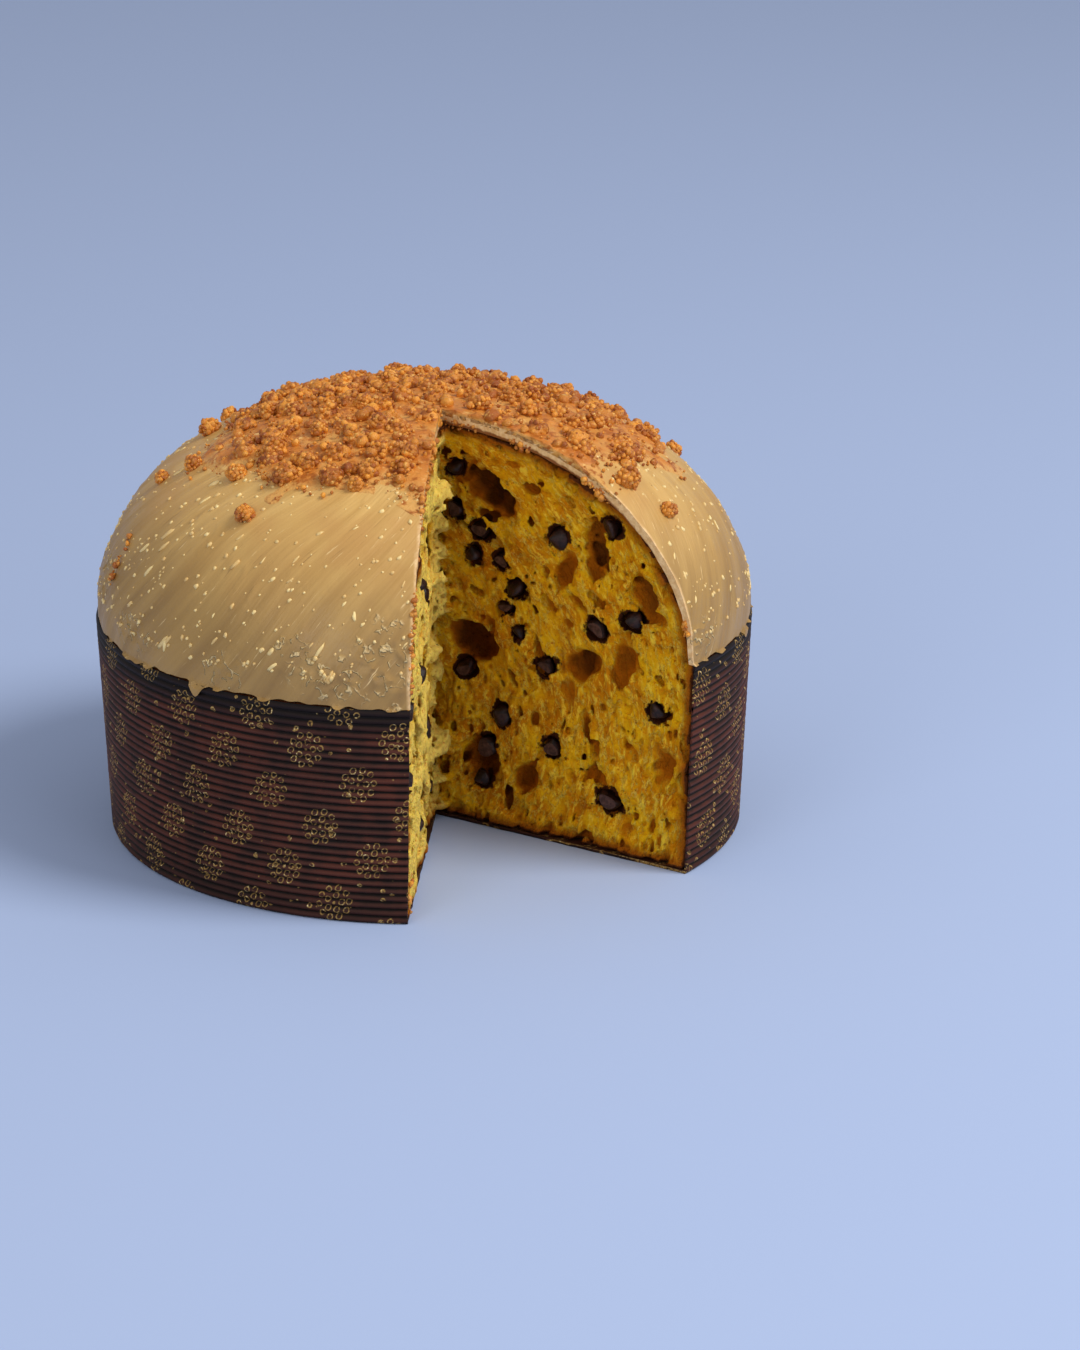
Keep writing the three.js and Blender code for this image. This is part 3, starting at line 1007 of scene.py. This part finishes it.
shape[:, 2] += lip * ragged
reach = from_axis(shape)
hanging = shape[:, 2] < CASE_HEIGHT
farthest = CASE_RADIUS - 0.06
reach_wanted = np.where(hanging & (lip > 0), farthest, np.minimum(reach, farthest))
shape[:, :2] *= (reach_wanted / reach.clip(1))[:, None]
move_points(icing, shape)
carve(icing, knife(roughness=0.35, spacing=1.6))
activate(icing)
bpy.ops.object.shade_smooth_by_angle(angle=math.radians(38))

# %% [markdown]
# The finish follows the strokes by a UV map along and across them. The coat is painted
# darker and duller low down and lighter on its shoulders, as painted shade and light, with
# pale hairlines in the strokes and fine worm-like ridges in the smears. Where it is cut it
# is pale and even, with a brown crust under it.

# %% Finish of the icing
def unwrap(obj, name, spot):
    """A UV map from two numbers for each place, in metres."""
    layer = obj.data.uv_layers.new(name=name)
    corners = np.empty(len(obj.data.loops), np.int64)
    obj.data.loops.foreach_get("vertex_index", corners)
    layer.data.foreach_set("uv", (spot(points_of(obj)) * MM)[corners].astype(np.float32).ravel())


unwrap(icing, "strokes", lambda points: strokes(points)[:, :2])
store(icing, "smeared", smeared(points_of(icing)))
store(icing, "inside", -outside_dome(points_of(icing), ICING_RADIUS, ICED_HEIGHT))
store(icing, "in_cut", blend(0.8, 0.45, gap_depth(points_of(icing))))
icing_finish, tree, shader = new_material("coffee icing", Roughness=0.46)
place = object_place(tree)
drawn = add_node(tree, "UVMap", uv_map="strokes").outputs["UV"]
stretched = add_node(tree, "Mapping", {"Vector": drawn, "Scale": (0.07, 1, 1)}).outputs["Vector"]
bands = grain(tree, stretched, 7.0, 4, 0.55)
hair = grain(tree, stretched, 1.5, 4, 0.6)
cloud = grain(tree, place, 30, 3)
# Painted light: the coat is lighter the higher it lies and darker low down, as painted shade.
high = remap(tree, add_node(tree, "SeparateXYZ", {0: place}).outputs["Z"], 0.082, 0.13)
shaded_low_tone = mix(tree, remap(tree, bands, 0.3, 0.7), colour(154, 117, 62), colour(178, 139, 76))
lit_high_tone = mix(tree, remap(tree, bands, 0.3, 0.7), colour(206, 160, 88), colour(226, 182, 108))
lit_high_tone = mix(tree, remap(tree, cloud, 0.42, 0.7), lit_high_tone, colour(208, 158, 90))
tone = mix(tree, high, shaded_low_tone, lit_high_tone)
tone = mix(tree, remap(tree, hair, 0.64, 0.74), tone, colour(244, 210, 148))
tone = mix(tree, remap(tree, hair, 0.36, 0.28), tone, colour(172, 130, 72))
body = remap(tree, grain(tree, place, 1.6, 4), 0.35, 0.7)
body = mix(tree, body, colour(222, 176, 116), colour(246, 208, 152))
tone = mix(tree, attribute(tree, "in_cut"), tone, body)
crust = calculate(tree, "MULTIPLY_ADD", grain(tree, place, 3, 4), 2.2, attribute(tree, "inside"))
tone = mix(tree, remap(tree, crust, 3.9, 4.6), tone, colour(136, 78, 34))
worm = calculate(tree, "ABSOLUTE", calculate(tree, "SUBTRACT", grain(tree, place, 5, 2, 0.5), 0.5))
worm = remap(tree, worm, 0.0, 0.05, 1, 0)
worm = calculate(tree, "MULTIPLY", worm, remap(tree, grain(tree, place, 4, 2), 0.48, 0.56))
patch = calculate(tree, "MULTIPLY_ADD", grain(tree, place, 9, 3), 0.9, attribute(tree, "smeared"))
worm = calculate(tree, "MULTIPLY", worm, remap(tree, patch, 0.62, 0.9))
tone = mix(tree, calculate(tree, "MULTIPLY", worm, 0.7), tone, colour(244, 214, 154))
tree.links.new(tone, shader.inputs["Base Color"])
dry = remap(tree, grain(tree, place, 14, 3), 0.35, 0.65, 0.38, 0.55)
tree.links.new(dry, shader.inputs["Roughness"])
strokes_bump = bump(tree, shader, bands, 0.3)
strokes_bump = bump(tree, shader, hair, 0.3, strokes_bump)
bump(tree, shader, worm, 0.6, strokes_bump)
finish_piece(icing, icing_finish, "icing", "icing")

# %% [markdown]
# Small pale grains of sugar and cocoa butter stand out of the icing. Each is a low
# flattened ball that sits in the surface, a few of them dragged out along a stroke.

# %% Specks in the icing
def ball(rings):
    """The points and triangles of a ball of radius 1, with few faces for few rings."""
    bpy.ops.mesh.primitive_uv_sphere_add(segments=2 * rings, ring_count=rings, radius=MM)
    bpy.ops.object.mode_set(mode="EDIT")
    bpy.ops.mesh.select_all(action="SELECT")
    bpy.ops.mesh.quads_convert_to_tris()
    bpy.ops.object.mode_set(mode="OBJECT")
    made = bpy.context.object
    shape = points_of(made)
    faces = np.array([polygon.vertices[:] for polygon in made.data.polygons])
    bpy.data.objects.remove(made)
    return shape, faces


def scatter(name, middles, sizes, frames, rings, seed, lumpy=0.18):
    """One mesh of many lumpy balls: middles, three half sizes and a turned frame each."""
    shape, faces = ball(rings)
    count = len(middles)
    random = np.random.default_rng(seed)
    swell = 1 + lumpy * random.normal(0, 1, (count, len(shape), 1)).clip(-1.6, 1.6)
    local = shape[None] * swell * sizes[:, None, :]
    points = np.einsum("nij,nvj->nvi", frames, local) + middles[:, None, :]
    numbers = faces[None] + len(shape) * np.arange(count)[:, None, None]
    obj = mesh_from(name, points.reshape(-1, 3), numbers.reshape(-1, 3).tolist())
    bpy.ops.object.shade_smooth()
    store(obj, "tone", np.repeat(random.random(count), len(shape)))
    return obj


def frames_on(normals, turns):
    """Frames whose third direction is the normal, turned about it."""
    level = np.stack([-normals[:, 1], normals[:, 0], np.zeros(len(normals))], axis=-1)
    level += (1e-6, 0, 0)
    level /= np.linalg.norm(level, axis=1)[:, None]
    other = np.cross(normals, level)
    first = level * np.cos(turns)[:, None] + other * np.sin(turns)[:, None]
    return np.stack([first, np.cross(normals, first), normals], axis=-1)


SPECKS = 3800
random = np.random.default_rng(41)
turns = random.uniform(0, 2 * math.pi, SPECKS)
distance = 52 + (ICING_RADIUS - 52.6) * np.sin(random.random(SPECKS) ** 0.75 * math.pi / 2)
spots = round_axis(distance, turns, dome_height(distance))
crowd = 0.5 + 0.5 * noise(spots, 14, 43) + 0.15 * smeared(spots)
spots = spots[(gap_depth(spots) > 1.5) & (crowd > random.random(SPECKS) * 1.1)]
normals = surface_normal(spots)
spots = spots + normals * (relief(spots) - 0.5)[:, None]
small = 0.28 + 0.5 * random.random(len(spots)) ** 2
dragged = random.random(len(spots)) < 0.14
longer = random.uniform(2.0, 4.5, len(spots))
long = small * np.where(dragged, longer, random.uniform(1.0, 1.5, len(spots)))
sizes = np.stack([long, small, small * 0.8], axis=-1)
lying = frames_on(normals, STROKE_TILT + random.normal(0, 0.25, len(spots)))
specks = scatter("icing_specks", spots, sizes, lying, 4, 42)
print(len(spots), "specks")
speck_finish, tree, shader = new_material("pale sugar grains", Roughness=0.35)
tone = mix(tree, attribute(tree, "tone"), colour(222, 180, 110), colour(248, 220, 152))
tree.links.new(tone, shader.inputs["Base Color"])
finish_piece(specks, speck_finish, "icing", "icing")

# %% [markdown]
# The crumble is baked sugar, butter and flour: nuggets the size of a pea, each a cluster
# of grains, with loose bits and grains between them on a bed of the finest ones. The
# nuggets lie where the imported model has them. Everything small is one mesh for each
# kind, written from arrays, because thousands of objects would be slow.

# %% Where the nuggets lie
CRUMBLE_RADIUS = 63
CRUMBLE_BED = 1.0
BED_EDGE = 8
FRINGE = (
    (-156, 64.5, 4.4), (-169, 57, 4), (-153, 58, 3.7), (-142, 62, 4), (-158, 80, 3),
    (-134, 63, 2.4), (-172, 69, 3), (-56, 74, 4.4), (-46, 67, 3.8), (-53, 86, 2.7),
    (-20, 72.5, 3), (-2, 88, 3), (14, 70, 3.6), (33, 78, 3), (52, 71, 4), (75, 84, 2.8),
    (88, 92, 2.4), (98, 72, 3.8), (121, 76, 3.2), (142, 70, 3.6), (161, 83, 2.2), (168, 74, 3),
)  # azimuth in degrees, distance from the axis, radius
NUGGETS, PERCHED, SIT = 84, 18, 0.35
GOLDEN_ANGLE = math.pi * (3 - math.sqrt(5))


def crumble_reach(angle):
    """How far the dense crumble reaches from the axis, with lobes and two tongues."""
    reach = CRUMBLE_RADIUS + 7 * np.cos(angle + 0.52) + 4.5 * np.cos(9 * angle - 1.47)
    for by, towards, narrow in ((11, 3.04, 12), (6, -0.26, 20)):
        reach = reach + by * ((1 + np.cos(angle - towards)) / 2) ** narrow
    return reach


def topped_height(distance):
    """The surface with the bed of fine crumble on it."""
    bed = CRUMBLE_BED * np.clip((CRUMBLE_RADIUS - distance) / BED_EDGE, 0, 1)
    return dome_height(distance) + bed


def nugget_places():
    """Every nugget as x, y, radius and lift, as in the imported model."""
    random = random_source(2024)
    places = []
    for azimuth, distance, radius in FRINGE:
        angle = math.radians(azimuth)
        places.append((*round_axis(distance, angle, 0.0)[:2], radius, SIT * radius))
    for i in range(NUGGETS + PERCHED):
        perched = i >= NUGGETS
        share = 0.8 * (i - NUGGETS + 0.5) / PERCHED if perched else (i + 0.5) / NUGGETS
        angle = i * GOLDEN_ANGLE + 0.3 * (next(random) - 0.5)
        distance = crumble_reach(angle) * math.sqrt(share) + 4 * (next(random) - 0.5)
        radius = 2.4 + 0.9 * next(random) if perched else 3.8 + 1.4 * next(random)
        lift = 0.9 + 0.6 * next(random) if perched else -0.3 * radius * next(random)
        places.append((*round_axis(distance, angle, 0.0)[:2], radius, lift))
    return np.array(places)


places = nugget_places()
heights = topped_height(from_axis(places)) + places[:, 3] - 0.35
middles = np.stack([places[:, 0], places[:, 1], heights], axis=-1)
radii = places[:, 2]
kept = gap_depth(middles) > 0.3 * radii
middles, radii = middles[kept], radii[kept]
print(len(radii), "nuggets")

# %% [markdown]
# A nugget is a rough core with beads of baked sugar all over it. The beads are spread
# evenly on a ball, turned at random, and dropped where they would lie in the icing or
# in the cut. Between the nuggets lie loose bits and dust.

# %% Crumble
def directions(count):
    """Evenly spread directions on a ball."""
    k = np.arange(count) + 0.5
    z = 1 - 2 * k / count
    ring = np.sqrt(1 - z * z)
    return np.stack([ring * np.cos(k * GOLDEN_ANGLE), ring * np.sin(k * GOLDEN_ANGLE), z], axis=-1)


def tumbled(count, random):
    """Frames turned at random."""
    normals = random.normal(0, 1, (count, 3))
    normals /= np.linalg.norm(normals, axis=1)[:, None]
    return frames_on(normals, random.uniform(0, 2 * math.pi, count))


random = np.random.default_rng(51)
cores = scatter(
    "crumble_nuggets", middles, radii[:, None] * random.uniform(0.74, 0.9, (len(radii), 3)),
    tumbled(len(radii), random), 10, 52, 0.03,
)
GRAINS_EACH = 44
spread = directions(GRAINS_EACH)
centres, sizes = [], []
for middle, radius in zip(middles, radii):
    out = spread @ tumbled(1, random)[0].T
    centres.append(middle + out * radius * random.uniform(0.7, 0.88, (GRAINS_EACH, 1)))
    whole = random.uniform(0.6, 1.15, (GRAINS_EACH, 1))
    sizes.append(whole * random.uniform(0.8, 1.15, (GRAINS_EACH, 3)))
centres, sizes = np.concatenate(centres), np.concatenate(sizes)
kept = (gap_depth(centres) > 0) & (centres[:, 2] > topped_height(from_axis(centres)) - 0.6)
grains = scatter(
    "crumble_grains", centres[kept], sizes[kept], tumbled(int(kept.sum()), random), 4, 53, 0.06
)


def strewn(count, small, large, sink, seed, beyond=4.0):
    """Loose crumbs on the dense patch and a little beyond its edge."""
    random = np.random.default_rng(seed)
    angle = random.uniform(0, 2 * math.pi, count)
    edge = crumble_reach(angle) + beyond
    distance = edge * np.sqrt(random.random(count))
    radius = small + (large - small) * random.random(count) ** 2
    heaped = 0.8 * random.random(count) ** 2 * (distance < edge - 8)
    spots = round_axis(distance, angle, topped_height(distance) + radius * sink + heaped)
    kept = gap_depth(spots) > 0.4 * radius
    sizes = radius[:, None] * random.uniform(0.75, 1.2, (count, 3))
    return spots[kept], sizes[kept], tumbled(int(kept.sum()), random)


bits = scatter("crumble_bits", *strewn(460, 0.9, 2.3, 0.1, 61, 3.0), 5, 62, 0.1)
dust = scatter("crumble_dust", *strewn(1700, 0.3, 0.85, 0.3, 63, 6.0), 3, 64, 0.12)

# %% [markdown]
# Under the nuggets the crumble has melted into the icing and left a thin, uneven crust.
# It is a round sheet of rings with a lumpy top and a closed underside, thick in the
# middle and run out to nothing at the edge, and it is cut along with the icing.

# %% The bed of fine crumble
BED_RINGS, BED_STEPS, UNDER_EVERY = 90, 420, 9
BED_SUNK = 1.6
ring = np.linspace(0, 1, BED_RINGS + 1)[1:]
ring, turn = np.meshgrid(ring, np.arange(BED_STEPS) * 2 * math.pi / BED_STEPS, indexing="ij")
distance = ring * (crumble_reach(turn) + 7)
flat = round_axis(distance, turn, np.zeros_like(turn))
edge = blend(1, 0.8, ring + 0.1 * noise(flat, 6, 71))
rough = 0.35 + 0.65 * blend(-0.4, 0.4, noise(flat, 13, 76))
lumps = 0.9 * noise(flat, 4.2, 72) + 0.4 * noise(flat, 1.9, 73) + 0.15 * noise(flat, 1.0, 74)
flat[..., 2] = dome_height(distance) - 0.9 + edge * (CRUMBLE_BED + 0.5 + rough * lumps)
top = flat.reshape(-1, 3)
centre = [[0, 0, flat[0, :, 2].mean()]]
under = flat[::-UNDER_EVERY].reshape(-1, 3) * (1, 1, 0)
under[:, 2] = dome_height(from_axis(under)) - BED_SUNK
points = np.concatenate([top, centre, under, [[0, 0, ICED_HEIGHT - BED_SUNK]]])
faces = []
for row in range(BED_RINGS):
    for k in range(BED_STEPS):
        a, b = row * BED_STEPS + k, row * BED_STEPS + (k + 1) % BED_STEPS
        if row < BED_RINGS - 1:
            faces.append((a, a + BED_STEPS, b + BED_STEPS, b))
        if row == 0:
            faces.append((len(top), a, b))
start = len(top) + 1
rows = len(under) // BED_STEPS
for k in range(BED_STEPS):
    after = (k + 1) % BED_STEPS
    a, b = len(top) - BED_STEPS + k, len(top) - BED_STEPS + after
    faces.append((a, start + k, start + after, b))
    for row in range(rows - 1):
        a, b = start + row * BED_STEPS + k, start + row * BED_STEPS + after
        faces.append((a, a + BED_STEPS, b + BED_STEPS, b))
    last = start + (rows - 1) * BED_STEPS
    faces.append((last + k, len(points) - 1, last + after))
bed = face_outwards(mesh_from("crumble_bed", points, faces))
carve(bed, knife(roughness=0.35, spacing=1.6))
activate(bed)
bpy.ops.object.shade_smooth()
bed_points = points_of(bed)
store(bed, "tone", 0.5 + 0.45 * noise(bed_points, 5, 75))
store(bed, "thick", bed_points[:, 2] - dome_height(from_axis(bed_points)))

# %% [markdown]
# The knife dragged crumbs along. They cling to the line where the icing meets the bread,
# a few lie at the foot of the left cut, and a streak of them sticks to the icing's side.

# %% Crumbs along the cut edges
def on_cut_edge(direction, angle, inside, depth):
    """Places in a cut face that lie inside the icing's surface by so much."""
    distance = (ICING_RADIUS - inside * 0.6) * np.cos(angle) ** (2 / DOME_POWER)
    height = CASE_HEIGHT + (ICED_HEIGHT - inside - CASE_HEIGHT) * np.sin(angle)
    x, y = CUT_MEETS[0], CUT_MEETS[1] - APEX_LEAN * height
    nearer = x * math.cos(direction) + y * math.sin(direction)
    along = np.sqrt(nearer**2 - x * x - y * y + distance**2) - nearer
    return in_face(direction, along, height, depth)


random = np.random.default_rng(66)
spots = []
for direction, count, shallow, deep in ((RIGHT, 420, 2.4, 4.8), (LEFT, 260, 0.2, 3.8)):
    angle, inside = random.uniform(0.03, 1.5, count), random.uniform(shallow, deep, count)
    line = on_cut_edge(direction, angle, inside, random.uniform(-0.5, 0.5, count))
    spots.append(line[noise(line, 9, 77) > 0.0])
foot = random.uniform((86, 1, -0.4), (98, 14, 0.6), (26, 3))
spots.append(in_face(LEFT, foot[:, 0], foot[:, 1], foot[:, 2]))
streak = random.normal(0, 1, (26, 3)) * (0.012, 0, 3.2) + (math.radians(170.9), 0, 94)
rise = (streak[:, 2] - CASE_HEIGHT) / (ICED_HEIGHT - CASE_HEIGHT)
reach_out = (ICING_RADIUS + 0.1) * (1 - rise**2) ** (1 / DOME_POWER)
spots.append(round_axis(reach_out, streak[:, 0], streak[:, 2]))
spots = np.concatenate(spots)
spots = spots[spots[:, 1] > cad_low.y / MM + 1.6]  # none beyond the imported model
sizes = 0.3 + 0.95 * random.random((len(spots), 1)) ** 3
sizes = sizes * random.uniform(0.75, 1.2, (len(spots), 3))
edge_crumbs = scatter("edge_crumbs", spots, sizes, tumbled(len(spots), random), 4, 67, 0.12)

# %% [markdown]
# Nuggets and beads are caramel brown with pale sugar and darker toasted spots. The crust
# between them is smoother, and fades into the icing's colour where it is thin.

# %% Finish of the crumble
crumble_finish, tree, shader = new_material("caramel crumble", Roughness=0.36)
place = object_place(tree)
tone = attribute(tree, "tone")
toast = mix(tree, tone, colour(172, 88, 14), colour(246, 164, 56))
sugar = remap(tree, grain(tree, place, 1.5, 4, 0.7), 0.52, 0.74)
toast = mix(tree, sugar, toast, colour(255, 206, 112))
dark = remap(tree, grain(tree, place, 5, 3), 0.5, 0.68)
toast = mix(tree, dark, toast, colour(154, 74, 12))
tree.links.new(toast, shader.inputs["Base Color"])
bump(tree, shader, grain(tree, place, 0.8, 4, 0.7), 0.45)

smear_finish, tree, shader = new_material("smeared crumble", Roughness=0.45)
place = object_place(tree)
tone = mix(tree, attribute(tree, "tone"), colour(192, 106, 28), colour(226, 146, 58))
thin = calculate(tree, "MULTIPLY_ADD", grain(tree, place, 5, 4), -1.6, attribute(tree, "thick"))
tone = mix(tree, remap(tree, thin, -1.0, 0.1, 1, 0), tone, colour(222, 164, 86))
dark = remap(tree, grain(tree, place, 3.0, 4, 0.6), 0.48, 0.66)
tone = mix(tree, dark, tone, colour(172, 92, 18))
sugar = remap(tree, grain(tree, place, 3.5, 3, 0.6), 0.6, 0.72)
tone = mix(tree, sugar, tone, colour(240, 190, 112))
tree.links.new(tone, shader.inputs["Base Color"])
bump(tree, shader, grain(tree, place, 1.6, 4, 0.6), 0.6)
finish_piece(bed, smear_finish, "crumble", "icing")
for piece in (cores, grains, bits, dust, edge_crumbs):
    finish_piece(piece, crumble_finish, "crumble", "icing")

# %% [markdown]
# The case is corrugated paper with its ridges lying round the cake, one above the other,
# glued to a plain liner. It is printed in dull gold with a scattered ornament of small
# rings in a rosette, a common old pattern on such cases. The ridges are real relief: the
# section of the wall is a wave. A UV map unrolls the wall at its real size for the print.

# %% Paper case
RIDGES = 29
RIDGE_DEPTH = 0.8
UNDER_ICING = 0.3
ROWS_EACH = 6
CASE_STEPS = 300
wall = []
for k in range(RIDGES * ROWS_EACH + 1):
    share = k / (RIDGES * ROWS_EACH)
    height = CASE_HEIGHT * share
    wave = abs(math.sin(math.pi * k / ROWS_EACH))
    radius = CASE_BASE_RADIUS + CASE_SLOPE * height - RIDGE_DEPTH * (1 - wave) - UNDER_ICING * share
    wall.append((radius, height))
inside_top = CASE_RADIUS - PAPER
inside_foot = CASE_BASE_RADIUS - PAPER
closed = [(0, 0), *wall, (inside_top, CASE_HEIGHT), (inside_foot, PAPER), (0, PAPER)]
case = turned("case_paper", closed, CASE_STEPS)
shape = points_of(case)
wobble = 0.12 * noise(shape * (1, 1, 3), 7, 81)
outer_wall = from_axis(shape) > side_radius(shape[:, 2]) + GAP + 0.1
shape[:, :2] *= (1 - outer_wall * np.abs(wobble) / from_axis(shape).clip(1))[:, None]
move_points(case, shape)
carve(case, knife(roughness=0.2, spacing=3))
activate(case)
bpy.ops.object.shade_smooth_by_angle(angle=math.radians(60))
unwrap(case, "print", lambda points: np.stack([round_the_cake(points)[0], points[:, 2]], axis=-1))

# %% [markdown]
# The print is a lattice of rosettes. Two wrapped coordinates put every rosette on the
# same small field, where a folded angle turns one small circle into a ring of them, and
# cells of noise add lone ones. The gold is worn and has painted glints. Shade and light
# are painted on the corrugation: the gold and the paper are darker in the valleys between
# the ridges and lighter on the ridge tops, and the paper is painted dark under the icing's
# edge as its shadow and dark at the foot as shade.

# %% Print of the paper case
# The print's lattice: spacing round the case, rows up it, how each row is set off, slant.
ACROSS, UP, SET_OFF, SLANT = 29.1, 12.7, 12.6, 0.158
PRINT_START = way_to(-135.2), 55.7
OUTER_RINGS, OUTER_AT = 10, 4.9
INNER_RINGS, INNER_AT = 5, 2.5
RINGLET, LINE = 0.88, 0.28

paper_finish, tree, shader = new_material("printed case paper", Roughness=0.6)
shader.inputs["Specular IOR Level"].default_value = 0.22
drawn = add_node(tree, "SeparateXYZ", {0: add_node(tree, "UVMap", uv_map="print").outputs["UV"]})
u = calculate(tree, "SUBTRACT", calculate(tree, "DIVIDE", drawn.outputs["X"], MM), PRINT_START[0])
v = calculate(tree, "SUBTRACT", calculate(tree, "DIVIDE", drawn.outputs["Y"], MM), PRINT_START[1])
v = calculate(tree, "SUBTRACT", v, calculate(tree, "MULTIPLY", u, SLANT))
row = calculate(tree, "FLOOR", calculate(tree, "ADD", calculate(tree, "DIVIDE", v, UP), 0.5))
u = calculate(tree, "SUBTRACT", u, calculate(tree, "MULTIPLY", row, SET_OFF))
x = calculate(tree, "WRAP", u, ACROSS / 2, -ACROSS / 2)
y = calculate(tree, "WRAP", v, UP / 2, -UP / 2)


def length(first, second):
    """The length of a flat vector, worked out by nodes."""
    squares = calculate(tree, "MULTIPLY", first, first)
    return calculate(tree, "SQRT", calculate(tree, "MULTIPLY_ADD", second, second, squares))


def ringlets(count, distance, size):
    """Fine circles of a size, set in a ring round each rosette's middle."""
    sector = 2 * math.pi / count
    folded = calculate(tree, "WRAP", calculate(tree, "ARCTAN2", y, x), sector / 2, -sector / 2)
    px = calculate(tree, "MULTIPLY_ADD", radius, calculate(tree, "COSINE", folded), -distance)
    py = calculate(tree, "MULTIPLY", radius, calculate(tree, "SINE", folded))
    off = calculate(tree, "ABSOLUTE", calculate(tree, "SUBTRACT", length(px, py), size))
    return remap(tree, off, LINE * 0.3, LINE, 1, 0)


radius = length(x, y)
inner_rings = ringlets(INNER_RINGS, INNER_AT, RINGLET)
gold = calculate(tree, "MAXIMUM", ringlets(OUTER_RINGS, OUTER_AT, RINGLET), inner_rings)
gold = calculate(tree, "MAXIMUM", gold, remap(tree, radius, 0.3, 0.6, 1, 0))
place = object_place(tree)
flecks = add_node(tree, "TexVoronoi", {"Vector": place, "Scale": 1 / (4.2 * MM), "Randomness": 1.0})
off = calculate(tree, "SUBTRACT", flecks.outputs["Distance"], 0.17)
ring_off = calculate(tree, "ABSOLUTE", off)
chance = add_node(tree, "SeparateColor", {0: flecks.outputs["Color"]}).outputs[0]
chosen = calculate(tree, "GREATER_THAN", chance, 0.62)
lone = calculate(tree, "MULTIPLY", remap(tree, ring_off, 0.03, 0.07, 1, 0), chosen)
gold = calculate(tree, "MAXIMUM", gold, lone)
gold = calculate(tree, "MAXIMUM", gold, remap(tree, flecks.outputs["Distance"], 0.05, 0.1, 0.7, 0))
worn = remap(tree, grain(tree, place, 0.9, 3), 0.36, 0.56)
shine = remap(tree, grain(tree, place, 0.8, 2), 0.58, 0.66)
ridge = calculate(tree, "MULTIPLY", drawn.outputs["Y"], math.pi * RIDGES / (CASE_HEIGHT * MM))
ridge = calculate(tree, "ABSOLUTE", calculate(tree, "SINE", ridge))
uneven = calculate(tree, "MULTIPLY_ADD", grain(tree, place, 7, 4, 0.6), 0.9, -0.45)
# Painted light on the corrugation: near 1 on the lit crests and 0 in the shaded valleys.
painted_crest_light = remap(tree, calculate(tree, "ADD", ridge, uneven), 0.25, 0.8)
gold = calculate(tree, "MULTIPLY", gold, worn)
# Painted shade: the print is weaker in the valleys between the ridges.
gold = calculate(tree, "MULTIPLY", gold, calculate(tree, "MULTIPLY_ADD", painted_crest_light, 0.4, 0.6))
board = remap(tree, grain(tree, place, 14, 3), 0.35, 0.65)
board = mix(tree, board, colour(58, 27, 18), colour(84, 38, 25))
# Painted shade: the paper is near black in the valleys between the ridges.
board = mix(tree, painted_crest_light, colour(18, 8, 6), board)
# Painted highlight on the ridge tops.
board = mix(tree, remap(tree, ridge, 0.9, 0.99, 0, 0.25), board, colour(112, 66, 46))
# Painted shadow of the icing's edge on the top of the wall.
board = mix(tree, remap(tree, drawn.outputs["Y"], 0.058, 0.067, 0, 0.9), board, colour(12, 5, 4))
# Painted shade at the foot of the wall.
board = mix(tree, remap(tree, drawn.outputs["Y"], 0.016, 0.002, 0, 0.5), board, colour(20, 9, 6))
board = mix(tree, gold, board, mix(tree, shine, colour(166, 130, 68), colour(246, 220, 156)))
tree.links.new(board, shader.inputs["Base Color"])
bump(tree, shader, grain(tree, place, 0.8, 3), 0.08)
finish_piece(case, paper_finish, "case_paper", "paper_case")

# %% [markdown]
# The cake stands on a wide pale blue sheet under soft studio light: a large key light
# high on the right, which leaves a soft shadow on the left, a low fill from the left for
# the right cut face, and a weak light in front for the left one. The camera looks down a
# little from the front left, with a long lens.

# %% Floor, light and camera
bpy.ops.mesh.primitive_plane_add(size=24, location=(0, 0, 0))
floor = bpy.context.object
floor.name = "floor"
floor_finish, tree, shader = new_material("pale blue paper sheet", Roughness=0.9)
shader.inputs["Base Color"].default_value = colour(172, 190, 228)
floor.data.materials.append(floor_finish)

AIM = Vector((0, 0, 0.06))


def add_light(name, place, size, power, tint):
    """A round soft light that points at the cake."""
    data = bpy.data.lights.new(name, "AREA")
    data.shape, data.size, data.energy, data.color = "DISK", size, power, tint
    light = bpy.data.objects.new(name, data)
    bpy.context.scene.collection.objects.link(light)
    light.location = place
    light.rotation_euler = (AIM - Vector(place)).to_track_quat("-Z", "Y").to_euler()


add_light("key", (0.95, -1.02, 1.68), 0.95, 30, (1.0, 0.98, 0.94))
add_light("fill", (-1.95, -1.3, 0.95), 1.3, 12, (1.0, 0.99, 0.97))
add_light("front", (0.3, -1.75, 0.85), 0.9, 3.5, (1.0, 0.97, 0.92))
world = bpy.data.worlds.new("soft studio")
bpy.context.scene.world = world
world.use_nodes = True
world.node_tree.nodes["Background"].inputs["Color"].default_value = (0.96, 0.97, 1.0, 1)
world.node_tree.nodes["Background"].inputs["Strength"].default_value = 0.43

CAMERA_PLACE = Vector((-0.5904, -1.2782, 0.5204))
CAMERA_LOOKS = Vector((0.4199, 0.8496, -0.3193))
lens = bpy.data.cameras.new("camera")
lens.lens, lens.sensor_width = 122.7, 36
camera = bpy.data.objects.new("camera", lens)
bpy.context.scene.collection.objects.link(camera)
camera.location = CAMERA_PLACE
camera.rotation_euler = CAMERA_LOOKS.to_track_quat("-Z", "Y").to_euler()
bpy.context.scene.camera = camera
bpy.context.scene.view_settings.view_transform = "Standard"
